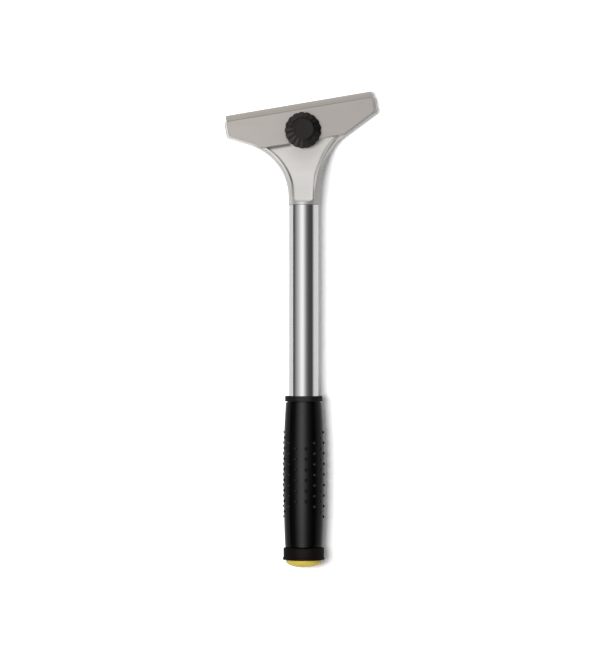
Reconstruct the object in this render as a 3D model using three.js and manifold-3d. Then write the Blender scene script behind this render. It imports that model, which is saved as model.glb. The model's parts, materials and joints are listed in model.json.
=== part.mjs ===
// A long-handled scraper with a replaceable blade, lying on its back.
// A die-cast head holds a steel blade under a clamp plate, a ribbed knob tightens the clamp,
// and a chromed steel tube with a rubber grip makes the handle.
//
// Frame: +Z up, +Y from the grip towards the blade, +X to the right, millimetres.
// Inside the tool group, X is 0 on the tube's axis, Y is 0 where the tube meets the collar and
// Z is 0 on the bench. The head group stands on the clamp screw's axis and is turned by the skew,
// so that its X runs along the blade (u) and its Y towards the cutting edge (v).
import * as THREE from "three";
import { mergeVertices } from "three/addons/utils/BufferGeometryUtils.js";
import Module from "manifold-3d";

const wasm = await Module();
wasm.setup();

const rad = THREE.MathUtils.degToRad;
const { lerp, smoothstep } = THREE.MathUtils;

// ---------------------------------------------------------------- driving dimensions

// Clearances
const seatGap = 0.15; // between pieces that rest on or in each other
const turnGap = 0.3; // round a shank or a peg that must slip through
const cutOver = 5; // how far a cutting tool reaches past what it cuts

// Blade
const bladeLength = 100;
const bladeDepth = 13;
const bladeThick = 0.6;
const bladeReach = 18.5; // cutting edge ahead of the clamp screw
const edgeBevel = 1.7; // width of the ground bevel
const edgeThick = 0.12;
const pegR = 1.7;
const pegAside = 34; // each locating peg from the clamp screw
const pegAhead = 7.5;

// Head casting
const skew = rad(9.6); // blade to a line square to the handle
const screwAhead = 50.2; // clamp screw ahead of the tube's end
const screwAside = -0.5;
const collarR = 10.3;
const collarLength = 4;
const bedHeight = 7; // the blade's seat above the flat back
const wingHalf = 51.8; // half the width of the wings
const wingFront = 15.2; // nose ahead of the clamp screw
const wingSlope = rad(27); // rear edges of the wings to the blade
const wingRear = 22.5; // where those edges would meet, behind the clamp screw
const rootLeft = 38; // where the neck's sides flow into those edges, along the blade
const rootRight = 26.5;
const rearCornerR = 2;
const frontCornerR = 3;
const bevelAhead = 8; // where the nose bevel leaves the back
const noseThick = 2;
const flowRatio = 0.62; // how far each neck curve holds its end directions
const wingEdgeR = 1.2; // rounding of the wings' upper edges
const backEdgeR = 0.8; // rounding of the wings' lower edges
const edgeShare = 0.45; // largest share of the thin nose's height that a rounding takes
const sideRoundness = 0.985; // edge radius to half width where the neck is as round as the tube
const crownFlattens = 2.2; // how fast that roundness fades towards the wings
const bellyFlattens = 3;
const bellySettles = 0.6; // share of the neck after which its underside lies on the bench
const rimLeft = 2.8; // shoulder between the neck's left side and the pocket
const rimRight = 4.2;
const pocketDepth = 2.2; // at the wings
const pocketDepthCollar = 4.2; // below the collar's crown
const pocketUnder = 0.8; // how far the pocket runs in under the clamp plate
const pocketEndReach = 2.2; // how far the pocket's rounded end runs back over the collar
const pocketEndAside = 4; // and how much it closes in from each side
const pocketEndStep = 0.45; // share of the pocket's depth in the step at its very end
const pocketFillet = 0.6;
const beadWidth = 1.8;
const beadHeight = 0.5;
const beadTopR = 0.5;
const beadFootR = 0.2;
const beadRises = 0.3; // share of the neck over which a bead rises out of the collar
const spigotLength = 30; // plug of the casting inside the tube
const spigotTaper = 1;
const spigotRoot = 1; // how far it runs into the collar
const coreDepth = 4; // hollows in the casting's back
const coreWall = 3;
const coreCornerR = 1.5;
const hubHalf = 10; // solid middle between the back hollows
const ribThick = 3; // rib between the two hollows of a wing
const ribAside = 27.3; // its hubward face from the clamp screw
const hollowRear = 5; // rear wall of the inner hollows behind the clamp screw

// Clamp plate
const plateHalf = 49.9;
const plateFront = 14.2; // front edge ahead of the clamp screw
const plateBehind = 7.2; // rear edge behind the clamp screw
const plateRearHalf = 26.9;
const plateThick = 2.6; // over the blade
const plateEdge = 0.45; // chamfer round the upper face
const heelGap = 0.4; // between the heel and the blade's rear edge

// Clamp screw, nut, washer and knob
const screwR = 3;
const screwLead = 0.8; // chamfer at the screw's end
const hexAcross = 10; // across flats, screw head and nut
const nutThick = 5;
const screwHead = 4;
const tailAbove = 0.8; // the screw's end above the bench
const washerR = 8;
const washerThick = 1.4;
const knobR = 12.4;
const knobTopR = 6.8;
const knobHeight = 16.5;
const knobSkirt = 2.2; // height of the upright band at the foot
const knobEdge = 0.4; // chamfer under the foot
const knobDish = 0.4;
const dishShare = 0.88; // dish to disc
const knobBrow = 0.9; // how far the flank's line passes outside the top disc
const knobRibs = 17;
const ribDepth = 0.75;
const ribShape = 0.8; // below 1 the ribs are broad and the grooves narrow

// Handle
const tubeR = 10;
const tubeWall = 1;
const bareTube = 128.8; // between collar and grip
const flangeR = 12.6;
const flangeLength = 3.6;
const flangeEdge = 0.3; // chamfer round the flange
const gripLength = 98.5;
const gripUpperR = 12.1;
const gripMiddleR = 13.7;
const gripLowerR = 12.5;
const endRingR = 14.1;
const endRingLength = 8.1;
const ringEdge = 0.4; // chamfer round both ends of the ring
const ringLip = 0.45; // how far the ring's body stands in from its lower lip
const ringLipLength = 1.4;
const domeR = 12;
const domeHeight = 5;
const domeRim = 1; // upright band at the foot of the dome
const plugLength = 18; // stem inside the tube
const barbs = 3;
const barbDepth = 0.6;
const barbSlope = 0.8; // share of a barb's pitch that it tapers over
const stemLead = 2; // plain stem at each end of the barbs

// Pimples of the grip, in two patches, one on each side
const bumpR = 1;
const bumpTopR = 0.55;
const bumpHeight = 0.8;
const bumpRoot = 0.4; // how deep a pimple is sunk into the sleeve
const bumpPitch = 7.1;
const bumpColumns = 7;
const longestColumn = 9;
const columnAngle = rad(24.7);
const gripTurn = rad(-9); // the grip is pushed on slightly turned

// Facets
const roundSteps = 40;
const smallSteps = 24;
const bumpSteps = 6;
const cornerSteps = 5;
const rearCornerSteps = 4;
const frontCornerSteps = 3;
const neckSteps = 12;
const pocketEndSteps = 4;
const ribSteps = 6;
const gripSteps = 8;
const domeSteps = 5;

// ---------------------------------------------------------------- derived sizes

const innerR = tubeR - tubeWall;
const flangeAt = -bareTube;
const bodyAt = flangeAt - flangeLength;
const ringAt = bodyAt - gripLength;
const handleEnd = ringAt - endRingLength;
const outerColumn = (bumpColumns - 1) / 2;
const lowestBump = Math.PI / 2 - outerColumn * columnAngle - Math.abs(gripTurn);
const bumpSole =
  (gripMiddleR + bumpHeight) * Math.cos(lowestBump) +
  bumpTopR * Math.abs(Math.sin(lowestBump));
const axisHeight = Math.max(endRingR, bumpSole); // the tool lies on its grip and its flat back

const bladeBottom = bedHeight + seatGap;
const bladeTop = bladeBottom + bladeThick;
const plateBottom = bladeTop + seatGap;
const plateTop = plateBottom + plateThick;
const washerBottom = plateTop + seatGap;
const knobBottom = washerBottom + washerThick + seatGap;
const bladeRear = bladeReach - bladeDepth;
const heelFront = bladeRear - heelGap;
const slopeDirection = new THREE.Vector2(Math.cos(wingSlope), Math.sin(wingSlope));

// ---------------------------------------------------------------- solids

// A closed three.js geometry as a manifold solid.
function solid(geometry) {
  const bare = geometry.clone();
  bare.deleteAttribute("normal");
  bare.deleteAttribute("uv");
  const merged = mergeVertices(bare, 1e-4);
  const corners = merged.index.array;
  const kept = [];
  for (let i = 0; i < corners.length; i += 3) {
    const [a, b, c] = [corners[i], corners[i + 1], corners[i + 2]];
    if (a !== b && b !== c && c !== a) kept.push(a, b, c);
  }
  return new wasm.Manifold(
    new wasm.Mesh({
      numProp: 3,
      vertProperties: new Float32Array(merged.attributes.position.array),
      triVerts: new Uint32Array(kept),
    }),
  );
}

function geometryOf(shape) {
  const mesh = shape.getMesh();
  const geometry = new THREE.BufferGeometry();
  const position = new THREE.BufferAttribute(mesh.vertProperties, mesh.numProp);
  geometry.setAttribute("position", position);
  geometry.setIndex(new THREE.BufferAttribute(mesh.triVerts, 1));
  const faceted = geometry.toNonIndexed();
  faceted.computeVertexNormals();
  return faceted;
}

// A skin through closed rings of equally many points, with a flat cap on each end.
function loft(rings) {
  const count = rings[0].length;
  const middle = (ring) =>
    ring.reduce((sum, p) => sum.add(p), new THREE.Vector3()).divideScalar(count);
  const points = [...rings.flat(), middle(rings[0]), middle(rings.at(-1))];
  const firstMiddle = points.length - 2;
  const lastMiddle = points.length - 1;
  const lastRing = (rings.length - 1) * count;
  const index = [];
  for (let i = 0; i < count; i++) {
    const next = (i + 1) % count;
    for (let ring = 0; ring < lastRing; ring += count) {
      index.push(ring + i, ring + next, ring + count + next);
      index.push(ring + i, ring + count + next, ring + count + i);
    }
    index.push(firstMiddle, next, i);
    index.push(lastMiddle, lastRing + i, lastRing + next);
  }
  const geometry = new THREE.BufferGeometry().setFromPoints(points);
  geometry.setIndex(index);
  return geometry;
}

// A solid of revolution about Z from [radius, height] pairs, listed from the bottom up.
function turned(profile, steps = roundSteps) {
  const points = profile.map(([r, z]) => new THREE.Vector2(r, z));
  const geometry = new THREE.LatheGeometry(points, steps);
  geometry.rotateX(Math.PI / 2);
  return geometry;
}

// The same about the handle's axis, with heights read along +Y.
function turnedAlongHandle(profile, steps = roundSteps) {
  return turned(profile, steps).rotateX(-Math.PI / 2);
}

// A closed profile of revolution with a bore, first and last point alike.
const ringProfile = (inner, outer, low, high) => [
  [inner, low],
  [outer, low],
  [outer, high],
  [inner, high],
  [inner, low],
];

// A flat outline of Vector2 points carried up from z = low to z = high.
function prism(outline, low, high) {
  const shape = new THREE.Shape(outline);
  const geometry = new THREE.ExtrudeGeometry(shape, {
    depth: high - low,
    bevelEnabled: false,
  });
  geometry.translate(0, 0, low);
  return geometry;
}

function cylinder(radius, low, high, steps = smallSteps) {
  const geometry = new THREE.CylinderGeometry(radius, radius, high - low, steps);
  geometry.rotateX(Math.PI / 2);
  geometry.translate(0, 0, (low + high) / 2);
  return geometry;
}

// A hexagon with two flats facing along Y.
function hexagon(acrossFlats, low, high) {
  const circumR = acrossFlats / Math.sqrt(3);
  const geometry = cylinder(circumR, low, high, 6);
  geometry.rotateZ(Math.PI / 6);
  return geometry;
}

// A corner between two directions, rounded with an arc.
function roundedCorner(corner, into, out, radius, steps) {
  const turn = into.angleTo(out);
  const reach = radius * Math.tan(turn / 2);
  const start = corner.clone().addScaledVector(into, -reach);
  const side = into.clone().rotateAround(new THREE.Vector2(), Math.PI / 2);
  const inwards = Math.sign(into.cross(out));
  const center = start.clone().addScaledVector(side, radius * inwards);
  const points = [];
  for (let i = 0; i <= steps; i++) {
    const part = (inwards * turn * i) / steps;
    points.push(start.clone().rotateAround(center, part));
  }
  return points;
}

// A closed outline with every corner rounded, corners listed counter-clockwise.
function roundedOutline(corners, radius, steps = 3) {
  return corners.flatMap((corner, i) => {
    const before = corners.at(i - 1);
    const after = corners[(i + 1) % corners.length];
    const into = corner.clone().sub(before).normalize();
    const out = after.clone().sub(corner).normalize();
    return roundedCorner(corner, into, out, radius, steps);
  });
}

// ---------------------------------------------------------------- head casting

const screwAxis = new THREE.Vector2(screwAside, screwAhead);

// A point of the head, along the blade and ahead of the screw, in the tool's plan.
const headPoint = (u, v) =>
  new THREE.Vector2(u, v).rotateAround(new THREE.Vector2(), skew).add(screwAxis);

// The rear edge of the wings at a distance along the blade, in the head's plan.
const rearEdgeAt = (u) => Math.abs(u) * Math.tan(wingSlope) - wingRear;

// Where the neck leaves the collar and how it flows into the wing's rear edge at its root.
function neckRail(side, root) {
  const start = new THREE.Vector2(side * collarR, collarLength);
  const end = headPoint(side * root, rearEdgeAt(root));
  const along = new THREE.Vector2(side * slopeDirection.x, slopeDirection.y);
  along.rotateAround(new THREE.Vector2(), skew);
  const back = (end.x - start.x) / along.x; // from the end back to the collar's side line
  const meet = end.clone().addScaledVector(along, -back);
  return new THREE.CubicBezierCurve(
    start,
    start.clone().lerp(meet, flowRatio),
    end.clone().lerp(meet, flowRatio),
    end,
  );
}

const rails = { left: neckRail(-1, rootLeft), right: neckRail(1, rootRight) };
const rims = { left: rimLeft, right: rimRight };
const roundSideR = sideRoundness * collarR;
const crownR = (t) => lerp(wingEdgeR, roundSideR, (1 - t) ** crownFlattens);
const bellyR = (t) => lerp(backEdgeR, roundSideR, (1 - t) ** bellyFlattens);
const crownAt = (t) => lerp(axisHeight + collarR, bedHeight, smoothstep(t, 0, 1));
const bellyAt = (t) => lerp(axisHeight - collarR, 0, smoothstep(t, 0, bellySettles));
const floorAt = (t) => crownAt(t) - lerp(pocketDepthCollar, pocketDepth, smoothstep(t, 0, 1));

// A point of the neck's plan, set in from its side by a distance square to that side.
function setIn(side, t, distance) {
  const rail = rails[side];
  const tangent = rail.getTangent(t);
  const turn = side === "left" ? -Math.PI / 2 : Math.PI / 2;
  const inward = tangent.rotateAround(new THREE.Vector2(), turn);
  return rail.getPoint(t).addScaledVector(inward, distance);
}

// Height of the neck's rounded shoulder at a distance in from its side.
function shoulderAt(t, distance) {
  const radius = crownR(t);
  const over = Math.max(radius - distance, 0);
  return crownAt(t) - radius + Math.sqrt(radius * radius - over * over);
}

// An upright rounded rectangle over the line from left to right, counter-clockwise when it is
// seen from ahead.
function upright(left, right, low, high, lowR, highR) {
  const width = left.distanceTo(right);
  const corners = [
    { s: lowR, z: low + lowR, r: lowR, from: Math.PI },
    { s: width - lowR, z: low + lowR, r: lowR, from: 1.5 * Math.PI },
    { s: width - highR, z: high - highR, r: highR, from: 0 },
    { s: highR, z: high - highR, r: highR, from: 0.5 * Math.PI },
  ];
  return corners.flatMap(({ s, z, r, from }) => {
    const points = [];
    for (let i = 0; i <= cornerSteps; i++) {
      const angle = from + (i / cornerSteps) * (Math.PI / 2);
      const plan = right.clone().lerp(left, (s + r * Math.cos(angle)) / width);
      points.push(new THREE.Vector3(plan.x, plan.y, z + r * Math.sin(angle)));
    }
    return points;
  });
}

const neckParts = Array.from({ length: neckSteps + 1 }, (_, i) => i / neckSteps);

// Half of the wings' outline from the neck's root round the end to the nose.
function wingSide() {
  const forward = new THREE.Vector2(0, 1);
  const across = new THREE.Vector2(-1, 0);
  const rear = new THREE.Vector2(wingHalf, rearEdgeAt(wingHalf));
  const front = new THREE.Vector2(wingHalf, wingFront);
  return [
    ...roundedCorner(rear, slopeDirection, forward, rearCornerR, rearCornerSteps),
    new THREE.Vector2(wingHalf, bevelAhead),
    ...roundedCorner(front, forward, across, frontCornerR, frontCornerSteps),
  ];
}

function headBody() {
  const collar = upright(
    new THREE.Vector2(-collarR, 0),
    new THREE.Vector2(collarR, 0),
    bellyAt(0),
    crownAt(0),
    bellyR(0),
    crownR(0),
  );
  const neck = neckParts.map((t) =>
    upright(
      rails.left.getPoint(t),
      rails.right.getPoint(t),
      bellyAt(t),
      crownAt(t),
      bellyR(t),
      crownR(t),
    ),
  );
  const wings = wingSide().map(({ x: u, y: v }) => {
    const nose = Math.max(v - bevelAhead, 0) / (wingFront - bevelAhead);
    const low = nose * (bedHeight - noseThick);
    const roomR = edgeShare * (bedHeight - low);
    const edge = Math.min(wingEdgeR, roomR);
    const foot = Math.min(backEdgeR, roomR);
    return upright(headPoint(-u, v), headPoint(u, v), low, bedHeight, foot, edge);
  });
  return solid(loft([collar, ...neck, ...wings]));
}

// Everything of the head ahead of a line square to the screw, as a block to cut with.
function aheadOf(v) {
  const span = 4 * wingHalf;
  const block = new THREE.BoxGeometry(span, span, span);
  block.translate(0, v + span / 2, 0);
  block.rotateZ(skew);
  block.translate(screwAxis.x, screwAxis.y, 0);
  return solid(block);
}

// The recess between the neck's rims. Over the collar its end is rounded in plan and in depth.
function webPocket() {
  const top = axisHeight + 2 * collarR;
  const ring = (left, right, floor) =>
    upright(left, right, floor, top, pocketFillet, pocketFillet);
  const end = Array.from({ length: pocketEndSteps }, (_, i) => {
    const angle = (i / pocketEndSteps) * (Math.PI / 2);
    const y = collarLength - pocketEndReach * Math.cos(angle);
    const closing = pocketEndAside * (1 - Math.sin(angle));
    const deep = lerp(pocketEndStep, 1, Math.sin(angle));
    return ring(
      new THREE.Vector2(rimLeft + closing - collarR, y),
      new THREE.Vector2(collarR - rimRight - closing, y),
      lerp(crownAt(0), floorAt(0), deep),
    );
  });
  const rest = neckParts.map((t) =>
    ring(setIn("left", t, rimLeft), setIn("right", t, rimRight), floorAt(t)),
  );
  return solid(loft([...end, ...rest])).subtract(aheadOf(pocketUnder - plateBehind));
}

// A raised bead along the pocket's edge, flush at the collar and cut square at the plate.
function rimBead(side) {
  const rings = neckParts.map((t) => {
    const outer = setIn(side, t, rims[side] - beadWidth);
    const inner = setIn(side, t, rims[side]);
    const rise = beadHeight * smoothstep(t, 0, beadRises);
    const top = shoulderAt(t, rims[side] - beadWidth / 2) + rise;
    const ends = side === "left" ? [outer, inner] : [inner, outer];
    return upright(...ends, top - pocketDepth, top, beadFootR, beadTopR);
  });
  return solid(loft(rings)).subtract(aheadOf(-plateBehind - 2 * seatGap));
}

// The level seat of the clamp plate, cut into the neck's foot with the plate's own outline.
function plateSeat() {
  const outline = plateOutline(-2 * seatGap).map(([u, v]) => new THREE.Vector2(u, v));
  return solid(inHead(prism(outline, bedHeight, axisHeight + 2 * collarR)));
}

// Hollows that lighten the back of one wing, with a rib between them.
function backHollows(side) {
  const wall = coreWall / Math.cos(wingSlope);
  const front = bevelAhead - coreWall / 2;
  const rear = -hollowRear;
  const ribEnd = ribAside + ribThick;
  const tip = (front - coreWall - wall + wingRear) / Math.tan(wingSlope);
  const inner = [
    [hubHalf, rear],
    [ribAside, rear],
    [ribAside, front],
    [hubHalf, front],
  ];
  const outer = [
    [ribEnd, rearEdgeAt(ribEnd) + wall],
    [tip, rearEdgeAt(tip) + wall],
    [tip, front],
    [ribEnd, front],
  ];
  return [inner, outer].map((corners) => {
    const outline = corners.map(([u, v]) => new THREE.Vector2(side * u, v));
    if (side < 0) outline.reverse();
    return solid(prism(roundedOutline(outline, coreCornerR), -cutOver, coreDepth));
  });
}

// A tool shape of the head group carried into the casting's frame.
function inHead(geometry) {
  return geometry.rotateZ(skew).translate(screwAxis.x, screwAxis.y, 0);
}

function headCasting() {
  const spigotR = innerR - seatGap;
  const spigot = turnedAlongHandle([
    [0, -spigotLength],
    [spigotR - spigotTaper, -spigotLength],
    [spigotR, spigotTaper - spigotLength],
    [spigotR, spigotRoot],
    [0, spigotRoot],
  ]).translate(0, 0, axisHeight);
  const shank = cylinder(screwR + turnGap, -cutOver, bedHeight + cutOver);
  const nutPocket = hexagon(hexAcross + 2 * seatGap, -cutOver, tailAbove + nutThick);
  let casting = headBody().subtract(webPocket());
  casting = casting.add(rimBead("left")).add(rimBead("right"));
  casting = casting.subtract(plateSeat());
  casting = casting.add(solid(spigot));
  for (const side of [-1, 1]) {
    const peg = cylinder(pegR, bedHeight - pegR, bladeTop);
    peg.translate(side * pegAside, pegAhead, 0);
    casting = casting.add(solid(inHead(peg)));
    for (const hollow of backHollows(side)) {
      casting = casting.subtract(solid(inHead(geometryOf(hollow))));
    }
  }
  casting = casting.subtract(solid(inHead(shank)));
  return casting.subtract(solid(inHead(nutPocket)));
}

// ---------------------------------------------------------------- blade and clamp

// The blade's cross-section carried along its length, then notched from the rear.
function blade() {
  const half = bladeThick / 2;
  const section = [
    [bladeRear, -half],
    [bladeReach - edgeBevel, -half],
    [bladeReach, -edgeThick / 2],
    [bladeReach, edgeThick / 2],
    [bladeReach - edgeBevel, half],
    [bladeRear, half],
  ].map(([v, z]) => new THREE.Vector2(v, z));
  const strip = prism(section, -bladeLength / 2, bladeLength / 2);
  strip.rotateX(Math.PI / 2).rotateZ(Math.PI / 2);
  strip.translate(0, 0, bladeBottom + half);
  const notchR = pegR + turnGap;
  const notch = (u) => {
    const hole = cylinder(notchR, 0, plateTop).translate(u, pegAhead, 0);
    const mouth = new THREE.BoxGeometry(2 * notchR, pegAhead - bladeRear + cutOver, plateTop);
    mouth.translate(u, (pegAhead + bladeRear - cutOver) / 2, plateTop / 2);
    return solid(hole).add(solid(mouth));
  };
  return solid(strip).subtract(notch(-pegAside)).subtract(notch(pegAside));
}

// The clamp plate's outline, drawn in by a distance for the chamfer.
function plateOutline(inset) {
  const half = plateHalf - inset;
  const rear = inset - plateBehind;
  const shift = inset * Math.tan((Math.PI / 2 - wingSlope) / 2);
  const endV = -plateBehind + (plateHalf - plateRearHalf) * Math.tan(wingSlope);
  const rearHalf = plateRearHalf - inset * Math.tan(wingSlope / 2);
  return [
    [-rearHalf, rear],
    [rearHalf, rear],
    [half, endV + shift],
    [half, plateFront - inset],
    [-half, plateFront - inset],
    [-half, endV + shift],
  ];
}

function clampPlate() {
  const level = (inset, z) => plateOutline(inset).map(([u, v]) => new THREE.Vector3(u, v, z));
  const rings = [
    level(0, bladeBottom),
    level(0, plateTop - plateEdge),
    level(plateEdge, plateTop),
  ];
  const jaw = new THREE.BoxGeometry(3 * plateHalf, plateFront - heelFront + cutOver, cutOver);
  jaw.translate(0, (plateFront + heelFront + cutOver) / 2, plateBottom - cutOver / 2);
  return solid(loft(rings))
    .subtract(solid(jaw))
    .subtract(solid(cylinder(screwR + turnGap, 0, plateTop + cutOver)));
}

// ---------------------------------------------------------------- knob, screw, washer, nut

// The knob's radius round its axis: rounded ribs that fade out at the top disc.
function knobRing(radius, height, relief) {
  const steps = knobRibs * ribSteps;
  const points = [];
  for (let i = 0; i < steps; i++) {
    const angle = (i / steps) * 2 * Math.PI;
    const wave = Math.abs(Math.sin((knobRibs * angle) / 2)) ** ribShape;
    const r = radius - relief * (1 - wave);
    points.push(new THREE.Vector3(r * Math.cos(angle), r * Math.sin(angle), height));
  }
  return points;
}

// Heights on the flank, and the share of the ribs' depth that is left there.
const flankStations = [
  { height: 0.55 * knobHeight, ribs: 1 },
  { height: 0.86 * knobHeight, ribs: 0.8 },
];
const knobShoulder = { height: 0.97 * knobHeight, out: 0.5, ribs: 0.3 };

function knob() {
  const flankR = (height) =>
    lerp(knobR, knobTopR + knobBrow, (height - knobSkirt) / (knobHeight - knobSkirt));
  const flank = flankStations.map(({ height, ribs }) =>
    knobRing(flankR(height), height, ribs * ribDepth),
  );
  const { height, out, ribs } = knobShoulder;
  const rings = [
    knobRing(knobR - knobEdge, 0, ribDepth),
    knobRing(knobR, knobEdge, ribDepth),
    knobRing(knobR, knobSkirt, ribDepth),
    ...flank,
    knobRing(knobTopR + out, height, ribs * ribDepth),
    knobRing(knobTopR, knobHeight, 0),
    knobRing(dishShare * knobTopR, knobHeight - knobDish, 0),
  ];
  const shell = loft(rings).translate(0, 0, knobBottom);
  const socketTop = knobBottom + screwHead + 2 * seatGap;
  return solid(shell).subtract(
    solid(hexagon(hexAcross + 2 * seatGap, knobBottom - cutOver, socketTop)),
  );
}

function knobScrew() {
  const headBottom = knobBottom + seatGap;
  const shank = turned(
    [
      [0, tailAbove],
      [screwR - screwLead, tailAbove],
      [screwR, tailAbove + screwLead],
      [screwR, headBottom + screwHead / 2],
      [0, headBottom + screwHead / 2],
    ],
    smallSteps,
  );
  return solid(shank).add(solid(hexagon(hexAcross, headBottom, headBottom + screwHead)));
}

function washer() {
  const profile = ringProfile(
    screwR + turnGap,
    washerR,
    washerBottom,
    washerBottom + washerThick,
  );
  return solid(turned(profile));
}

function hexNut() {
  const top = tailAbove + nutThick - seatGap;
  const body = hexagon(hexAcross, tailAbove - seatGap, top);
  return solid(body).subtract(solid(cylinder(screwR + seatGap, -cutOver, top + cutOver)));
}

// ---------------------------------------------------------------- handle

function tube() {
  return solid(
    turnedAlongHandle(ringProfile(innerR, tubeR, handleEnd + seatGap, -seatGap)),
  );
}

// Outside radius of the grip's body, swelling from both ends to its middle.
const gripMiddle = bodyAt - gripLength / 2;
function gripRadius(y) {
  const part = (y - gripMiddle) / (gripLength / 2);
  return lerp(gripMiddleR, part > 0 ? gripUpperR : gripLowerR, part * part);
}

// One pimple, pointing outwards from the handle's axis at an angle from straight up.
function bump(y, angle) {
  const pimple = turned(
    [
      [0, -bumpRoot],
      [bumpR, -bumpRoot],
      [bumpTopR, bumpHeight],
      [0, bumpHeight],
    ],
    bumpSteps,
  );
  pimple.translate(0, 0, gripRadius(y));
  pimple.rotateY(angle);
  pimple.translate(0, y, 0);
  return solid(pimple);
}

function gripSleeve() {
  const boreR = tubeR + seatGap;
  const foot = ringAt + seatGap;
  const outside = Array.from({ length: gripSteps + 1 }, (_, i) => {
    const y = lerp(foot, bodyAt, i / gripSteps);
    return [gripRadius(y), y];
  });
  let sleeve = solid(
    turnedAlongHandle([
      [boreR, foot],
      ...outside,
      [flangeR - flangeEdge, bodyAt],
      [flangeR, bodyAt + flangeEdge],
      [flangeR, flangeAt - flangeEdge],
      [flangeR - flangeEdge, flangeAt],
      [boreR, flangeAt],
      [boreR, foot],
    ]),
  );
  for (const side of [-1, 1]) {
    for (let column = -outerColumn; column <= outerColumn; column++) {
      const count = longestColumn - Math.abs(column);
      const angle = side * (Math.PI / 2 + column * columnAngle) + gripTurn;
      for (let i = 0; i < count; i++) {
        const y = gripMiddle + (i - (count - 1) / 2) * bumpPitch;
        sleeve = sleeve.add(bump(y, angle));
      }
    }
  }
  return sleeve;
}

function endRing() {
  const bodyR = endRingR - ringLip;
  const boreR = tubeR + seatGap;
  return solid(
    turnedAlongHandle([
      [boreR, handleEnd],
      [endRingR - ringEdge, handleEnd],
      [endRingR, handleEnd + ringEdge],
      [endRingR, handleEnd + ringLipLength],
      [bodyR, handleEnd + ringLipLength + ringLip],
      [bodyR, ringAt - ringEdge],
      [bodyR - ringEdge, ringAt],
      [boreR, ringAt],
      [boreR, handleEnd],
    ]),
  );
}

// A domed plug whose stem grips the tube's bore with a row of barbs.
function endPlug() {
  const stemR = innerR - seatGap - barbDepth;
  const foot = handleEnd - seatGap;
  const dome = Array.from({ length: domeSteps + 1 }, (_, i) => {
    const angle = (i / domeSteps) * (Math.PI / 2);
    const rise = (domeHeight - domeRim) * Math.cos(angle);
    return [domeR * Math.sin(angle), foot - domeRim - rise];
  });
  const barbPitch = (plugLength - 2 * stemLead) / barbs;
  const stem = Array.from({ length: barbs }, (_, i) => {
    const base = foot + stemLead + i * barbPitch;
    return [
      [stemR + barbDepth, base],
      [stemR, base + barbSlope * barbPitch],
    ];
  });
  const tip = foot + plugLength;
  const profile = [...dome, [domeR, foot], [stemR, foot], ...stem.flat(), [stemR, tip], [0, tip]];
  return solid(turnedAlongHandle(profile));
}

// ---------------------------------------------------------------- assembly

const castAluminium = { color: 0xc6c4bf, roughness: 0.42, metalness: 0.9 };
const satinSteel = { color: 0xb2aca6, roughness: 0.38, metalness: 1 };
const bladeSteel = { color: 0xa49e98, roughness: 0.25, metalness: 1 };
const plainSteel = { color: 0x9a9a98, roughness: 0.35, metalness: 1 };
const chrome = { color: 0xe4e4e6, roughness: 0.08, metalness: 1 };
const mouldedBlack = { color: 0x1c1a19, roughness: 0.55, metalness: 0 };
const rubber = { color: 0x141313, roughness: 0.45, metalness: 0 };
const ringPlastic = { color: 0x211b1d, roughness: 0.7, metalness: 0 };
const yellowPlastic = { color: 0xd8bc34, roughness: 0.4, metalness: 0 };

function piece(name, shape, finish) {
  const mesh = new THREE.Mesh(geometryOf(shape), new THREE.MeshStandardMaterial(finish));
  mesh.name = name;
  return mesh;
}

const head = new THREE.Group();
head.position.set(screwAside, screwAhead, 0);
head.rotation.z = skew;
head.add(
  piece("blade", blade(), bladeSteel),
  piece("clamp_plate", clampPlate(), satinSteel),
  piece("washer", washer(), plainSteel),
  piece("knob", knob(), mouldedBlack),
  piece("knob_screw", knobScrew(), plainSteel),
  piece("hex_nut", hexNut(), plainSteel),
);

const handle = new THREE.Group();
handle.position.z = axisHeight;
handle.add(
  piece("tube", tube(), chrome),
  piece("grip_sleeve", gripSleeve(), rubber),
  piece("end_ring", endRing(), ringPlastic),
  piece("end_plug", endPlug(), yellowPlastic),
);

const tool = new THREE.Group();
tool.add(piece("head_casting", headCasting(), castAluminium), head, handle);

// The scraper's origin is the middle of the footprint of its box, on the bench.
const scraper = new THREE.Group();
scraper.add(tool);
const middle = new THREE.Box3().setFromObject(scraper, true).getCenter(new THREE.Vector3());
tool.position.set(-middle.x, -middle.y, 0);

export default scraper;
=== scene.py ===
"""Visible surfaces, finishes and studio of a long-handled scraper with a clamped steel blade.

Places and main sizes come from the packed frame, in metres, with +Z up and +Y from the grip
towards the blade. Plan points of the tool are measured from the tube's axis and from the line
where the tube meets the collar. Plan points of the head are measured along the blade (u) and
towards the cutting edge (v), from the clamp screw.
"""

import json
import math

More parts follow.
